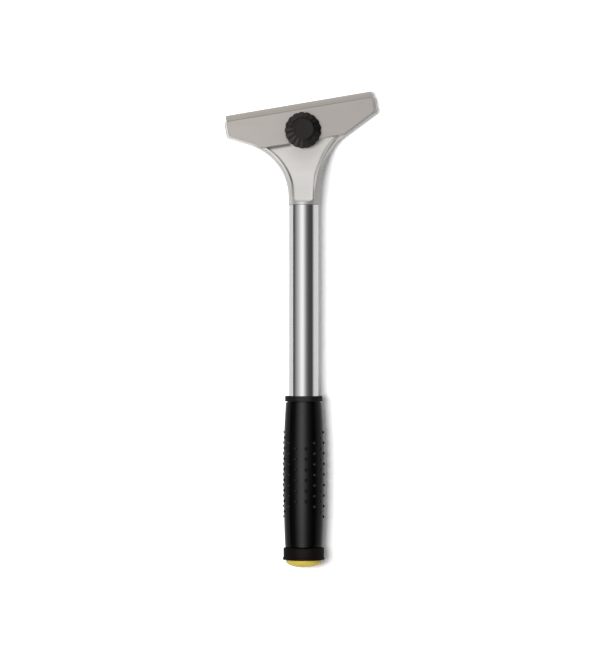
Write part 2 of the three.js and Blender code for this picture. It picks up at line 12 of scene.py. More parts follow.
import bpy
import numpy as np
from bpy.props import FloatProperty, FloatVectorProperty, IntProperty, PointerProperty
from bpy.types import Operator, Panel, PropertyGroup
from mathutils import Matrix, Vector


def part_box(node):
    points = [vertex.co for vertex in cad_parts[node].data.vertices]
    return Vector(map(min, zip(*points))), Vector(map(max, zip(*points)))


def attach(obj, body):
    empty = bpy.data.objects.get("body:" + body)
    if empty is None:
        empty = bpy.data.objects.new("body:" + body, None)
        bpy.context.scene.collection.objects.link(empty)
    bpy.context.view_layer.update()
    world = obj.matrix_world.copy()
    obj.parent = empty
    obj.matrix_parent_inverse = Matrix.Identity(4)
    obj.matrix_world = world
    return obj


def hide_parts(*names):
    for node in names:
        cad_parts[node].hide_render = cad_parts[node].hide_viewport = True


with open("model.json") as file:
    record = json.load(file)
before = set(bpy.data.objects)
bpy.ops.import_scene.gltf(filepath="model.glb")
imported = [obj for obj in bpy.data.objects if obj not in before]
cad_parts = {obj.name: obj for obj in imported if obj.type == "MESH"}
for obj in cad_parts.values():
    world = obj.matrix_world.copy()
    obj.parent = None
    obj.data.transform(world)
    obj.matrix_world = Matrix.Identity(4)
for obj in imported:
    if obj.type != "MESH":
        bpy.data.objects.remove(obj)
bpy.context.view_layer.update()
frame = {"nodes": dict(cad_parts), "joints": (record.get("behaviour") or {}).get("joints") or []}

bl_info = {
    "name": "Long-Handled Scraper",
    "version": (1, 0, 0),
    "blender": (4, 5, 0),
    "location": "View3D > Sidebar > Scraper",
    "description": "Surfaces, finishes and studio of a long-handled scraper",
    "category": "Add Mesh",
}

MM = 0.001
MICRON = 0.000001
TURN = 2 * math.pi

# ---------------------------------------------------------------- places read from the frame

JOINTS = {joint["name"]: joint for joint in frame["joints"]}
SCREW = np.array(JOINTS["knob_turn"]["pos_m"])
BLADE_AXIS = JOINTS["blade_slide"]["axis"]
SKEW = math.atan2(-BLADE_AXIS[0], BLADE_AXIS[1])


def box(node):
    """Lowest and highest corner of a frame node, as arrays."""
    low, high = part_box(node)
    return np.array(low), np.array(high)


TUBE_LOW, TUBE_HIGH = box("tube")
GRIP_LOW, GRIP_HIGH = box("grip_sleeve")
RING_LOW, RING_HIGH = box("end_ring")
PLUG_LOW, PLUG_HIGH = box("end_plug")
PLATE_LOW, PLATE_HIGH = box("clamp_plate")
BLADE_LOW, BLADE_HIGH = box("blade")
WASHER_LOW, WASHER_HIGH = box("washer")
KNOB_LOW, KNOB_HIGH = box("knob")
BOLT_LOW, _ = box("knob_screw")
NUT_LOW, NUT_HIGH = box("hex_nut")

SEAT_Z = 7 * MM  # the casting's seat under the clamp plate
HOLE_R = 3.3 * MM  # clearance round the clamp screw
TUBE_WALL = 1 * MM
SEAT_GAP = PLATE_LOW[2] - SEAT_Z
AXIS_X, _, AXIS_Z = (TUBE_LOW + TUBE_HIGH) / 2
TUBE_R = (TUBE_HIGH[0] - TUBE_LOW[0]) / 2
SLEEVE_BORE = TUBE_R + SEAT_GAP
JUNCTION_Y = TUBE_HIGH[1] + SEAT_GAP
BED_Z = BLADE_LOW[2] - SEAT_GAP


def turned_plan(points, angle):
    """Plan points (..., 2) turned about their origin, counter-clockwise seen from above."""
    c, s = math.cos(angle), math.sin(angle)
    return np.asarray(points, float) @ np.array([[c, s], [-s, c]])


def from_tool(plan):
    """Plan points of the tool in the part's plan."""
    return np.asarray(plan, float) + [AXIS_X, JUNCTION_Y]


def from_head(plan):
    """Plan points of the head in the part's plan."""
    return turned_plan(plan, SKEW) + SCREW[:2]


# ---------------------------------------------------------------- sizes and colours to set


def length(name, millimetres, description):
    return FloatProperty(
        name=name, description=description, default=millimetres * MM, unit="LENGTH", precision=5
    )


def colour(name, value, description):
    return FloatVectorProperty(
        name=name, description=description, default=value, subtype="COLOR", min=0, max=1
    )


def number(name, value, description):
    return FloatProperty(name=name, description=description, default=value)


def degrees(name, value, description):
    turn = math.radians(value)
    return FloatProperty(name=name, description=description, default=turn, subtype="ANGLE")


def whole(name, value, description, least=1):
    return IntProperty(name=name, description=description, default=value, min=least)


class HeadSizes(PropertyGroup):
    """Sizes of the die-cast head and its clamp plate."""

    collar_radius: length("Collar radius", 10.3, "Radius of the collar round the tube's end")
    collar_length: length("Collar length", 4, "Length of the collar's upright band")
    wing_half: length("Wing half width", 51.7, "Half the width of the wings")
    wing_front: length("Wing front", 15.2, "Nose of the casting ahead of the clamp screw")
    wing_rear: length("Wing rear", 22.5, "Where the wings' rear edges would meet, behind the screw")
    root_left: length("Left root", 38, "Where the neck's left side meets the rear edge")
    root_right: length("Right root", 26.5, "Where the neck's right side meets the rear edge")
    bevel_ahead: length("Bevel ahead", 8, "Where the nose bevel leaves the back")
    nose_thick: length("Nose thickness", 2, "Thickness of the casting at its nose")
    rear_corner: length("Rear corner", 2, "Rounding of the wings' rear corners")
    front_corner: length("Front corner", 3, "Rounding of the wings' front corners")
    rim_left: length("Left rim", 3.2, "Shoulder left of the pocket")
    rim_right: length("Right rim", 4.2, "Shoulder right of the pocket")
    pocket_depth: length("Pocket depth", 2.2, "Depth of the pocket at the wings")
    pocket_collar: length("Pocket depth, collar", 4.2, "Depth of the pocket below the collar's crown")
    end_reach: length("Pocket end reach", 2.2, "How far its round end runs over the collar")
    end_aside: length("Pocket end aside", 4, "How much its end closes in from each side")
    bead_width: length("Bead width", 1.8, "Width of the raised bead along the pocket")
    bead_height: length("Bead height", 0.5, "Rise of the bead over the shoulder")
    plate_rear_half: length("Plate rear half width", 26.9, "Half the plate's rear edge")
    plate_behind: length("Plate behind", 7.2, "Plate's rear edge behind the clamp screw")
    plate_front: length("Plate front", 14.2, "Plate's front edge ahead of the clamp screw")
    plate_half: length("Plate half width", 49.9, "Half the width of the clamp plate")
    wing_slope: degrees("Wing slope", 27, "Angle of the wings' rear edges to the blade")


class KnobSizes(PropertyGroup):
    """Sizes of the ribbed knob."""

    ribs: whole("Ribs", 17, "Ribs round the knob", 3)
    rib_depth: length("Rib depth", 0.55, "Depth of the grooves between the ribs")
    rib_shape: number("Rib shape", 0.8, "Below 1 the ribs are broad and the grooves narrow")
    top_radius: length("Top radius", 6.8, "Radius of the flat top")
    skirt: length("Skirt", 2.2, "Height of the upright band at the foot")
    dish: length("Dish", 0.2, "Depth of the hollow in the top")


class GripSizes(PropertyGroup):
    """Sizes of the rubber grip and its pimples."""

    flange_radius: length("Flange radius", 12.6, "Radius of the grip's upper flange")
    flange_length: length("Flange length", 3.6, "Length of the flange")
    undercut: length("Undercut", 0.8, "Depth of the groove behind the flange")
    upper_radius: length("Upper radius", 12.0, "Radius of the body below the flange")
    middle_radius: length("Middle radius", 13.7, "Largest radius of the body")
    lower_radius: length("Lower radius", 12.5, "Radius of the body at its lower end")
    bump_radius: length("Pimple radius", 1.2, "Radius of a pimple's foot")
    bump_height: length("Pimple height", 0.8, "Height of a pimple over the body")
    bump_pitch: length("Pimple pitch", 7.1, "Distance from pimple to pimple in a column")
    columns: whole("Columns", 7, "Columns in a patch")
    longest: whole("Longest column", 9, "Pimples in the middle column of a patch")
    column_angle: degrees("Column angle", 24.7, "Angle from column to column round the handle")
    turn: degrees("Turn", -9, "How far the grip is turned on the tube")


class EndSizes(PropertyGroup):
    """Sizes of the ring and the plug at the handle's end."""

    ring_lip: length("Ring lip", 0.45, "How far the ring's body stands in from its lip")
    ring_lip_length: length("Lip length", 1.4, "Length of the lip")
    dome_radius: length("Dome radius", 12, "Radius of the plug's dome")
    dome_rim: length("Dome rim", 1, "Upright band at the foot of the dome")
    dome_height: length("Dome height", 5, "Height of the whole dome")


class Finishes(PropertyGroup):
    """Colours of the surfaces."""

    cast_metal: colour("Cast metal", (0.7, 0.69, 0.665), "Tumbled die casting")
    cast_web: colour("Cast web", (0.815, 0.795, 0.766), "Blasted recess of the casting")
    plate_steel: colour("Plate steel", (0.6, 0.56, 0.528), "Satin clamp plate")
    blade_steel: colour("Blade steel", (0.46, 0.425, 0.39), "Hardened strip")
    zinc: colour("Zinc plate", (0.58, 0.58, 0.56), "Screw, nut and washer")
    chrome: colour("Chrome", (0.72, 0.72, 0.73), "Plated tube")
    knob_black: colour("Knob black", (0.0095, 0.0084, 0.0074), "Knob moulding")
    rubber: colour("Rubber", (0.0014, 0.0013, 0.0012), "Grip")
    ring_black: colour("Ring black", (0.007, 0.0044, 0.0045), "End ring")
    plug_yellow: colour("Plug yellow", (0.76, 0.585, 0.085), "End plug")


class Studio(PropertyGroup):
    """Camera and light."""

    camera_height: length("Camera height", 2400, "Camera above the floor")
    camera_x: length("Camera X", -2.3, "Camera along the part's X")
    camera_y: length("Camera Y", 2.65, "Camera along the part's Y")
    lens: number("Lens", 196.2, "Focal length for a 36 mm sensor")
    key_power: number("Key power", 48, "Watts of the soft lamp")
    sky: number("Sky", 0.25, "Strength of the sky on dull surfaces")
    floor_white: number("Floor white", 1.55, "Brightness of the floor's colour for the camera")


GROUPS = {
    "scraper_head": HeadSizes,
    "scraper_knob": KnobSizes,
    "scraper_grip": GripSizes,
    "scraper_end": EndSizes,
    "scraper_finishes": Finishes,
    "scraper_studio": Studio,
}

# ---------------------------------------------------------------- shapes


def smooth(x, low=0.0, high=1.0):
    """0 below low, 1 above high, 3 p^2 - 2 p^3 of the share p in between."""
    part = np.clip((x - low) / (high - low), 0, 1)
    return part * part * (3 - 2 * part)


def mix(a, b, part):
    """The value at a share of the way from a to b."""
    return a + (b - a) * part


def rounded(corners, radius, steps=5, closed=False):
    """A polyline with rounded corners: each corner C becomes the quadratic curve
    (1-t)^2 A + 2t(1-t) C + t^2 B, where A and B lie on its legs, one reach from C.
    The reach is the radius times the tangent of half the turn, and at most half a leg."""
    corners = np.asarray(corners, float)
    into = corners - np.roll(corners, 1, 0)
    out = np.roll(into, -1, 0)
    in_length = np.linalg.norm(into, axis=1)
    out_length = np.linalg.norm(out, axis=1)
    into = into / in_length[:, None]
    out = out / out_length[:, None]
    cosine = (into * out).sum(1)
    half_turn = np.sqrt((1 - cosine) / np.maximum(1 + cosine, 1e-6))
    reach = np.minimum(np.broadcast_to(radius, len(corners)) * half_turn, 0.49 * in_length)
    reach = np.minimum(reach, 0.49 * out_length)[:, None]
    t = np.linspace(0, 1, steps)[None, :, None]
    start, end = corners - into * reach, corners + out * reach
    curve = (1 - t) ** 2 * start[:, None] + 2 * t * (1 - t) * corners[:, None] + t**2 * end[:, None]
    if closed:
        return curve.reshape(-1, corners.shape[1])
    inner = curve[1:-1].reshape(-1, corners.shape[1])
    return np.concatenate([corners[:1], inner, corners[-1:]])


def skin(rings, wrap=False):
    """Points and faces of closed skins through rings (copies, rows, columns, 3). Columns close
    on themselves. Rows do too where wrap is set, and else a fan caps the first and last ring."""
    rings = np.asarray(rings, float)
    rings = rings.reshape((-1, *rings.shape[-3:]))
    copies, rows, columns = rings.shape[:3]
    r = np.arange(rows if wrap else rows - 1)[:, None] * columns
    up = (r + columns) % (rows * columns)
    c = np.arange(columns)[None, :]
    after = (c + 1) % columns
    faces = [np.stack([r + c, r + after, up + after, up + c], -1).reshape(-1, 4)]
    points = rings.reshape(copies, -1, 3)
    if not wrap:
        points = np.concatenate([points, rings[:, :1].mean(2), rings[:, -1:].mean(2)], 1)
        around, after = c[0], after[0]
        first = np.full(columns, rows * columns)
        last = (rows - 1) * columns
        faces.append(np.stack([after, around, first], -1))
        faces.append(np.stack([last + around, last + after, first + 1], -1))
    shift = np.arange(copies)[:, None, None] * points.shape[1]
    faces = [(face[None] + shift).reshape(-1, face.shape[1]) for face in faces]
    return points.reshape(-1, 3), faces


def volume(points, faces):
    """Six times the volume inside the faces: the sum of a . (b x c) over their triangles."""
    total = 0.0
    for face in faces:
        for k in range(1, face.shape[1] - 1):
            a, b, c = points[face[:, 0]], points[face[:, k]], points[face[:, k + 1]]
            total += (a * np.cross(b, c)).sum()
    return total


def new_object(name, points, faces):
    """An object at the origin from points and arrays of quads or triangles, faces outwards."""
    if volume(points, faces) < 0:
        faces = [face[:, ::-1] for face in faces]
    mesh = bpy.data.meshes.new(name)
    corners = np.concatenate([face.ravel() for face in faces]).astype(np.int32)
    sizes = np.concatenate([np.full(len(face), face.shape[1]) for face in faces])
    mesh.vertices.add(len(points))
    mesh.vertices.foreach_set("co", points.astype(np.float32).ravel())
    mesh.loops.add(len(corners))
    mesh.loops.foreach_set("vertex_index", corners)
    mesh.polygons.add(len(sizes))
    mesh.polygons.foreach_set("loop_start", (np.cumsum(sizes) - sizes).astype(np.int32))
    mesh.update(calc_edges=True)
    piece = bpy.data.objects.new(name, mesh)
    bpy.context.scene.collection.objects.link(piece)
    return piece


def solid(name, rings, wrap=False):
    """An object whose surface is the closed skins through rings."""
    return new_object(name, *skin(rings, wrap))


def soften(piece, angle):
    """Smooth shading, with edges sharper than the angle kept crisp and broad faces kept flat."""
    piece.data.shade_smooth()
    piece.data.set_sharp_from_angle(angle=math.radians(angle))
    weighted = piece.modifiers.new("broad faces first", "WEIGHTED_NORMAL")
    weighted.weight = 80
    weighted.keep_sharp = True
    return piece


def combine(piece, tool, operation="DIFFERENCE"):
    """The piece cut or joined by a tool, which is then removed."""
    modifier = piece.modifiers.new("combine", "BOOLEAN")
    modifier.object = tool
    modifier.operation = operation
    modifier.solver = "MANIFOLD"
    modifier.material_mode = "TRANSFER"
    graph = bpy.context.evaluated_depsgraph_get()
    result = bpy.data.meshes.new_from_object(piece.evaluated_get(graph))
    piece.modifiers.clear()
    old = piece.data
    piece.data = result
    bpy.data.meshes.remove(old)
    bpy.data.objects.remove(tool)
    if len(result.polygons) == 0:
        raise RuntimeError(f"nothing is left of {piece.name} after {operation}")


def full_turn(steps):
    """Even angles round a full turn."""
    return np.linspace(0, TURN, steps, endpoint=False)


def along_handle(profile, steps=160):
    """Rings of a profile [radius, y] turned about the handle's axis."""
    angle = full_turn(steps)
    radius, y = profile[:, :1], profile[:, 1:]
    x = AXIS_X + radius * np.cos(angle)
    z = AXIS_Z + radius * np.sin(angle)
    return np.stack([x, np.broadcast_to(y, x.shape), z], -1)


def about_screw(radius, height, steps=96):
    """Rings about the clamp screw's axis. The radius is one number a ring or one a point."""
    angle = full_turn(steps)
    radius = np.asarray(radius, float)
    radius = radius[:, None] if radius.ndim == 1 else radius
    x = SCREW[0] + radius * np.cos(angle)
    y = SCREW[1] + radius * np.sin(angle)
    z = np.broadcast_to(np.asarray(height, float).reshape(len(radius), -1), x.shape)
    return np.stack([x, y, z], -1)


def prism(outline, low, high, edge=0.0, steps=4):
    """Rings of an upright prism over a plan outline (n, 2) whose upper edge is rounded: each
    level keeps the outline's shape and is drawn in by edge (1 - cos a), edge sin a higher."""
    before = outline - np.roll(outline, 1, 0)
    normal = before + np.roll(before, -1, 0)
    normal = np.stack([normal[:, 1], -normal[:, 0]], -1)
    normal /= np.linalg.norm(normal, axis=1)[:, None]
    if (outline * normal).sum() < (outline.mean(0) * normal).sum():
        normal = -normal
    angle = np.linspace(0, math.pi / 2, steps) if edge else np.zeros(1)
    inset = np.concatenate([[0.0], edge * (1 - np.cos(angle))])
    level = np.concatenate([[low], high - edge + edge * np.sin(angle)])
    plan = outline[None] - normal[None] * inset[:, None, None]
    height = np.broadcast_to(level[:, None, None], (*plan.shape[:2], 1))
    return np.concatenate([plan, height], -1)


# ---------------------------------------------------------------- node graphs


class Graph:
    """Nodes of one material or world, each made with its inputs set or linked."""

    def __init__(self, owner):
        owner.use_nodes = True
        self.tree = owner.node_tree
        self.tree.nodes.clear()

    def add(self, kind, inputs=None, **settings):
        """A new node. Each input is linked to a socket or set to a value."""
        node = self.tree.nodes.new(kind)
        for key, value in settings.items():
            setattr(node, key, value)
        for key, value in (inputs or {}).items():
            if isinstance(value, bpy.types.NodeSocket):
                self.tree.links.new(value, node.inputs[key])
            else:
                node.inputs[key].default_value = value
        return node

    def coordinates(self, scale=(1, 1, 1), turn=0.0):
        """Object coordinates, turned about Z and stretched."""
        source = self.add("ShaderNodeTexCoord").outputs["Object"]
        mapping = {"Vector": source, "Rotation": (0, 0, turn), "Scale": scale}
        return self.add("ShaderNodeMapping", mapping).outputs["Vector"]

    def split(self, vector):
        return self.add("ShaderNodeSeparateXYZ", {0: vector}).outputs

    def normals(self):
        """The parts of the surface's normal along X, Y and Z."""
        return self.split(self.add("ShaderNodeTexCoord").outputs["Normal"])

    def noise(self, vector, scale, detail, rough):
        inputs = {"Vector": vector, "Scale": scale, "Detail": detail, "Roughness": rough}
        return self.add("ShaderNodeTexNoise", inputs).outputs["Fac"]

    def cells(self, vector, scale):
        inputs = {"Vector": vector, "Scale": scale}
        return self.add("ShaderNodeTexVoronoi", inputs).outputs["Distance"]

    def remap(self, value, low, high, to_low=0, to_high=1):
        """A value carried from one range to another and held at its ends."""
        inputs = {"Value": value, "From Min": low, "From Max": high}
        inputs |= {"To Min": to_low, "To Max": to_high}
        return self.add("ShaderNodeMapRange", inputs).outputs["Result"]

    def math(self, operation, a, b=0.0):
        return self.add("ShaderNodeMath", {0: a, 1: b}, operation=operation).outputs[0]

    def times(self, a, b):
        return self.math("MULTIPLY", a, b)

    def head_plan(self):
        """Distances along the blade and ahead of the clamp screw, in millimetres."""
        parts = self.split(self.coordinates(turn=-SKEW))
        middle = turned_plan(SCREW[:2], -SKEW)
        away = (self.math("SUBTRACT", part, m) for part, m in zip(parts, middle))
        return [self.times(distance, 1 / MM) for distance in away]

    def band(self, value, middle, half, soft):
        """1 within half of the middle, falling to 0 over a soft edge."""
        away = self.math("ABSOLUTE", self.math("SUBTRACT", value, middle))
        return self.remap(away, half, half + soft, 1, 0)

    def facing_level(self, near, far, head_on, aside):
        """A level for the gloss: head_on where the surface is seen squarely, aside beyond far."""
        facing = self.add("ShaderNodeLayerWeight", {"Blend": 0.5}).outputs["Facing"]
        return self.remap(facing, near, far, head_on, aside)

    def blend(self, part, a, b):
        """Colour a where part is 0 and colour b where it is 1."""
        a, b = (c if isinstance(c, bpy.types.NodeSocket) else (*c[:3], 1) for c in (a, b))
        return self.add("ShaderNodeMix", {0: part, 6: a, 7: b}, data_type="RGBA").outputs[2]

    def mottled(self, value, low, high, tint, dark, light):
        """A tint that goes from a darker to a lighter shade as the value rises."""
        return self.blend(self.remap(value, low, high), shade(tint, dark), shade(tint, light))

    def bump(self, height, microns, strength, normal=None):
        inputs = {"Height": height, "Distance": microns * MICRON, "Strength": strength}
        if normal:
            inputs["Normal"] = normal
        return self.add("ShaderNodeBump", inputs).outputs["Normal"]


def shade(value, factor):
    """A colour made lighter or darker, kept under 1."""
    return tuple(min(channel * factor, 1.0) for channel in value[:3])


def metal(base, share, rough, normal):
    """Shader inputs of a metal."""
    return {"Base Color": base, "Metallic": share, "Roughness": rough, "Normal": normal}


def surface(name, slot, paint, *settings):
    """A material and its slot. Its shader gets the inputs that paint returns for its graph."""
    material = bpy.data.materials.get(name) or bpy.data.materials.new(name)
    graph = Graph(material)
    shader = graph.add("ShaderNodeBsdfPrincipled", paint(graph, *settings))
    graph.add("ShaderNodeOutputMaterial", {"Surface": shader.outputs[0]})
    return material, slot


# ---------------------------------------------------------------- finishes

BLACK = (0, 0, 0)
PAINTED_WALL_SHADE = (0.035, 0.034, 0.03)
PLATE_SHADOW = (0.12, 0.11, 0.105)
CLAMP_EDGE_SHADOW = (0.1, 0.08, 0.07)
PALE_DUST = (0.08, 0.076, 0.072)
RIB_HIGHLIGHT = (0.07, 0.063, 0.057)


def cast_metal(g, tint):
    """Tumbled die casting: broad clouds, fine shot marks, small pits and lighter worn edges.
    The left wing and rim are tumbled brighter, and the neck's right flank keeps a dark skin."""
    place = g.coordinates()
    clouds = g.noise(place, 60, 4, 0.55)
    shot = g.noise(place, 1500, 3, 0.6)
    pits = g.remap(g.cells(place, 420), 0, 0.16)
    worn = g.remap(g.add("ShaderNodeNewGeometry").outputs["Pointiness"], 0.52, 0.6, 0, 0.5)
    u, v = g.head_plan()
    # painted shade: the neck's faces turned right, away from the light, are darkened
    flank = g.times(g.remap(g.normals()[0], 0.45, 0.85), g.remap(v, -24, -12, 1, 0))
    # painted light: the left wing and rim are lightened as if lit from the left
    bright = g.times(g.remap(u, -14, -4, 1, 0), g.remap(v, -32, -16))
    base = g.mottled(clouds, 0.3, 0.7, tint, 0.94, 1.04)
    base = g.blend(worn, base, shade(tint, 1.12))
    base = g.blend(g.remap(shot, 0.62, 0.75, 0, 0.14), base, shade(tint, 0.6))
    base = g.blend(flank, base, shade(tint, 0.58))
    base = g.blend(bright, base, shade(tint, 1.28))
    rough = g.remap(clouds, 0.25, 0.75, 0.34, 0.44)
    return metal(base, 0.8, rough, g.bump(pits, 40, 0.25, g.bump(shot, 30, 0.5)))


def blasted_metal(g, tint):
    """The casting's recess, which tumbling doesn't reach: a blasted skin with fine grain, palest
    near the clamp. Dark residue stays on its walls, most on the left, and under the plate's left
    rear edge."""
    place = g.coordinates()
    clouds = g.noise(place, 45, 4, 0.5)
    grain = g.noise(place, 2100, 3, 0.65)
    east, _, upward = g.normals()
    wall = g.times(g.remap(upward, 0.6, 0.93, 1, 0), g.remap(east, -0.3, 0.3, 0.6, 0.98))
    left = g.times(g.remap(upward, 0.8, 0.97, 0.98, 0), g.remap(east, 0.06, 0.22))
    u, v = g.head_plan()
    # painted shadow under the clamp plate's left rear edge
    under = g.times(g.band(v, -7.9, 0.5, 1.1), g.remap(u, -11, -6, 0.75, 0))
    base = g.mottled(clouds, 0.3, 0.7, tint, 0.97, 1.02)
    base = g.blend(g.remap(grain, 0.6, 0.75, 0, 0.12), base, shade(tint, 0.7))
    # painted shade on the recess walls, most on the left wall, which faces away from the light
    base = g.blend(g.math("MAXIMUM", wall, left), base, PAINTED_WALL_SHADE)
    # painted light: paler near the clamp, lifting the shade of the knob and plate
    base = g.blend(g.remap(v, -31, -22), base, shade(tint, 1.05))
    base = g.blend(g.remap(v, -39, -29, 1, 0), base, shade(tint, 0.89))
    base = g.blend(under, base, PLATE_SHADOW)
    return metal(base, 0.2, g.remap(clouds, 0.25, 0.75, 0.48, 0.58), g.bump(grain, 30, 0.6))


def brushed_steel(g, tint, rough, microns, right_end=1.0):
    """Ground strip: long fine scratches along the blade over faint clouds, darker towards its
    right end, with a dark line where the blade leaves the clamp."""
    lines = g.noise(g.coordinates((30, 2600, 900), -SKEW), 1, 4, 0.6)
    broad = g.noise(g.coordinates((14, 420, 200), -SKEW), 1, 3, 0.5)
    clouds = g.noise(g.coordinates(), 38, 3, 0.5)
    levels = g.math("ADD", g.times(lines, 0.6), g.times(broad, 0.4))
    u, v = g.head_plan()
    base = g.mottled(lines, 0.3, 0.7, tint, 0.97, 1.03)
    base = g.blend(g.remap(clouds, 0.35, 0.65, 0, 0.35), base, shade(tint, 0.93))
    base = g.blend(g.remap(u, -50, 50, 0, 1 - right_end), base, BLACK)
    # painted shadow line along the clamp plate's front edge
    base = g.blend(g.times(g.band(v, 14.45, 0.2, 0.35), 0.3), base, CLAMP_EDGE_SHADOW)
    gloss = g.remap(levels, 0.3, 0.7, rough - 0.04, rough + 0.04)
    return metal(base, 1.0, gloss, g.bump(levels, microns, 0.5))


def zinc_plate(g, tint):
    """Bright zinc: a faint blue and straw tint in patches and dull speckles."""
    place = g.coordinates()
    patches = g.noise(place, 160, 3, 0.5)
    specks = g.noise(place, 2200, 2, 0.5)
    warm = (tint[0] * 1.06, tint[1] * 1.02, tint[2] * 0.9)
    cold = (tint[0] * 0.94, tint[1] * 0.98, tint[2] * 1.06)
    base = g.blend(g.remap(patches, 0.35, 0.65), cold, warm)
    return metal(base, 1.0, g.remap(specks, 0.3, 0.7, 0.26, 0.42), g.bump(specks, 20, 0.5))


def chrome(g, tint):
    """Bright plating over drawn tube: faint smears and hair scratches along the handle."""
    smears = g.noise(g.coordinates((40, 12, 40)), 1, 4, 0.6)
    hairs = g.noise(g.coordinates((3200, 30, 3200)), 1, 2, 0.6)
    base = g.mottled(smears, 0.35, 0.65, tint, 0.97, 1.02)
    return metal(base, 1.0, g.remap(smears, 0.35, 0.7, 0.05, 0.11), g.bump(hairs, 3, 0.5))


def moulded(g, tint, grain, rough, microns, shine, matt_from=None):
    """Moulded plastic or rubber: an even grain, hand-worn gloss and a little pale dust. The
    shine is the gloss seen squarely and aslant. Ahead of matt_from along the handle the skin is
    paler and dull."""
    place = g.coordinates()
    fine = g.cells(place, grain)
    soft = g.noise(place, grain * 0.35, 2, 0.5)
    handled = g.noise(place, 45, 3, 0.55)
    dust_and_highlight = g.remap(g.noise(place, 900, 2, 0.7), 0.66, 0.78, 0, 0.1)
    base = g.mottled(handled, 0.3, 0.7, tint, 0.85, 1.18)
    base = g.blend(dust_and_highlight, base, PALE_DUST)
    gloss = g.remap(handled, 0.3, 0.7, rough - 0.06, rough + 0.06)
    if matt_from:
        matt = g.remap(g.split(place)[1], matt_from - 0.2 * MM, matt_from)
        base = g.blend(matt, base, shade(tint, 6))
        gloss = g.remap(matt, 0, 1, gloss, 0.6)
    return {
        "Base Color": base,
        "Roughness": gloss,
        "Normal": g.bump(soft, microns * 1.5, 0.4, g.bump(fine, microns, 0.5)),
        "IOR": 1.5,
        "Specular IOR Level": g.facing_level(0.0, 0.12, *shine),
    }


def knob_moulding(g, tint, ribs):
    """Black knob: dull dark ribs, and a paler top rubbed by thumbs, with fine moulded grain.
    Pale dust sits on the ribs at its rear left, and the right side is darker with grease."""
    place = g.coordinates()
    handled = g.noise(place, 90, 3, 0.55)
    x, y = (g.math("SUBTRACT", part, middle) for part, middle in zip(g.split(place), SCREW[:2]))
    angle = g.math("ARCTAN2", y, x)

    def side(bearing, low, high):
        """A share that grows with the cosine of the angle from one bearing of the knob."""
        away = g.math("SUBTRACT", angle, math.radians(bearing))
        return g.remap(g.math("COSINE", away), low, high)

    crest = g.remap(g.math("COSINE", g.times(angle, ribs)), 0.5, -0.9, 0.15, 1)
    # painted highlight on the rib crests at the rear left, where the light falls
    dust_and_highlight = g.times(g.times(crest, side(-135, 0.3, 0.9)), 0.9)
    base = g.mottled(handled, 0.3, 0.7, tint, 0.8, 1.25)
    # painted shade on the knob's right side, away from the light
    base = g.blend(side(-15, -0.1, 0.8), base, shade(tint, 0.35))
    base = g.blend(dust_and_highlight, base, RIB_HIGHLIGHT)
    # painted light: faces turned upward are painted paler, as if lit from above
    base = g.blend(g.remap(g.normals()[2], 0.6, 0.95), base, shade(tint, 1.5))
    return {
        "Base Color": base,
        "Roughness": g.remap(handled, 0.3, 0.7, 0.38, 0.5),
        "Normal": g.bump(g.cells(place, 3200), 30, 0.5),
        "Specular IOR Level": g.facing_level(0.1, 0.45, 0.28, 0.03),
    }


def yellow_moulding(g, tint):
    """Half-gloss yellow: flow clouds, a little light under the skin and scuffs on the crown."""
    flow = g.noise(g.coordinates((60, 30, 60)), 1, 4, 0.6)
    scuffs = g.noise(g.coordinates((900, 160, 400), 0.5), 1, 4, 0.65)
    fine = g.noise(g.coordinates(), 2600, 2, 0.5)
    base = g.mottled(flow, 0.35, 0.65, tint, 0.9, 1.08)
    return {
        "Base Color": g.blend(g.remap(scuffs, 0.6, 0.74, 0, 0.3), base, shade(tint, 0.55)),
        "Roughness": g.remap(scuffs, 0.35, 0.7, 0.3, 0.5),
        "Normal": g.bump(scuffs, 30, 0.3, g.bump(fine, 20, 0.5)),
        "IOR": 1.49,
        "Subsurface Weight": 0.12,
        "Subsurface Radius": (1.0, 0.6, 0.1),
        "Subsurface Scale": 1.2 * MM,
    }


def dress(piece, finish, body, *nodes):
    """Gives a new piece its finish, seats it on a body and lets it stand for frame nodes."""
    material, slot = finish
    piece.data.materials.clear()
    piece.data.materials.append(material)
    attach(piece, body)
    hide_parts(*nodes)


# ---------------------------------------------------------------- head casting

WING_EDGE_R = 1.2 * MM
BACK_EDGE_R = 0.8 * MM
EDGE_SHARE = 0.45  # most of the wings' thickness that one edge's rounding takes
FLOW_RATIO = 0.62  # how far each neck curve holds its end directions
POCKET_END_STEP = 0.45  # share of the pocket's depth in the step at its very end
POCKET_FILLET = 1.5 * MM
POCKET_UNDER = 0.8 * MM  # how far the pocket runs on under the clamp plate
COLLAR_ROUND = 0.985  # rounding of the collar's corners, as a share of its radius
NOSE_TAIL = np.array([-0.7, 0.02]) * MM  # last step of the outline along the nose
BEAD_FOOT_R = 0.2 * MM
BEAD_TOP_R = 0.6 * MM
HOLLOW_CORNER_R = 1.5 * MM
HOLLOW_FLOOR_R = 0.6 * MM
CUT_OVER = 5 * MM  # how far cutters stand out of what they cut
CUT_SPAN = 120 * MM
NECK_STEPS = 72
CORNER_STEPS = 12


def bezier(points, t):
    """Point and direction of a cubic curve at each t: the sums of Bernstein weights times the
    four control points, and of the derivative's weights times their differences."""
    t = np.asarray(t, float)[:, None]
    weights = [(1 - t) ** 3, 3 * t * (1 - t) ** 2, 3 * t**2 * (1 - t), t**3]
    place = sum(w * p for w, p in zip(weights, points))
    steps = np.diff(points, axis=0)
    slopes = [(1 - t) ** 2, 2 * t * (1 - t), t**2]
    direction = sum(w * s for w, s in zip(slopes, steps))
    return place, direction / np.linalg.norm(direction, axis=1)[:, None]


def rear_edge(s, u):
    """The wings' rear edge at a distance along the blade: a straight line each way."""
    return abs(u) * math.tan(s.wing_slope) - s.wing_rear


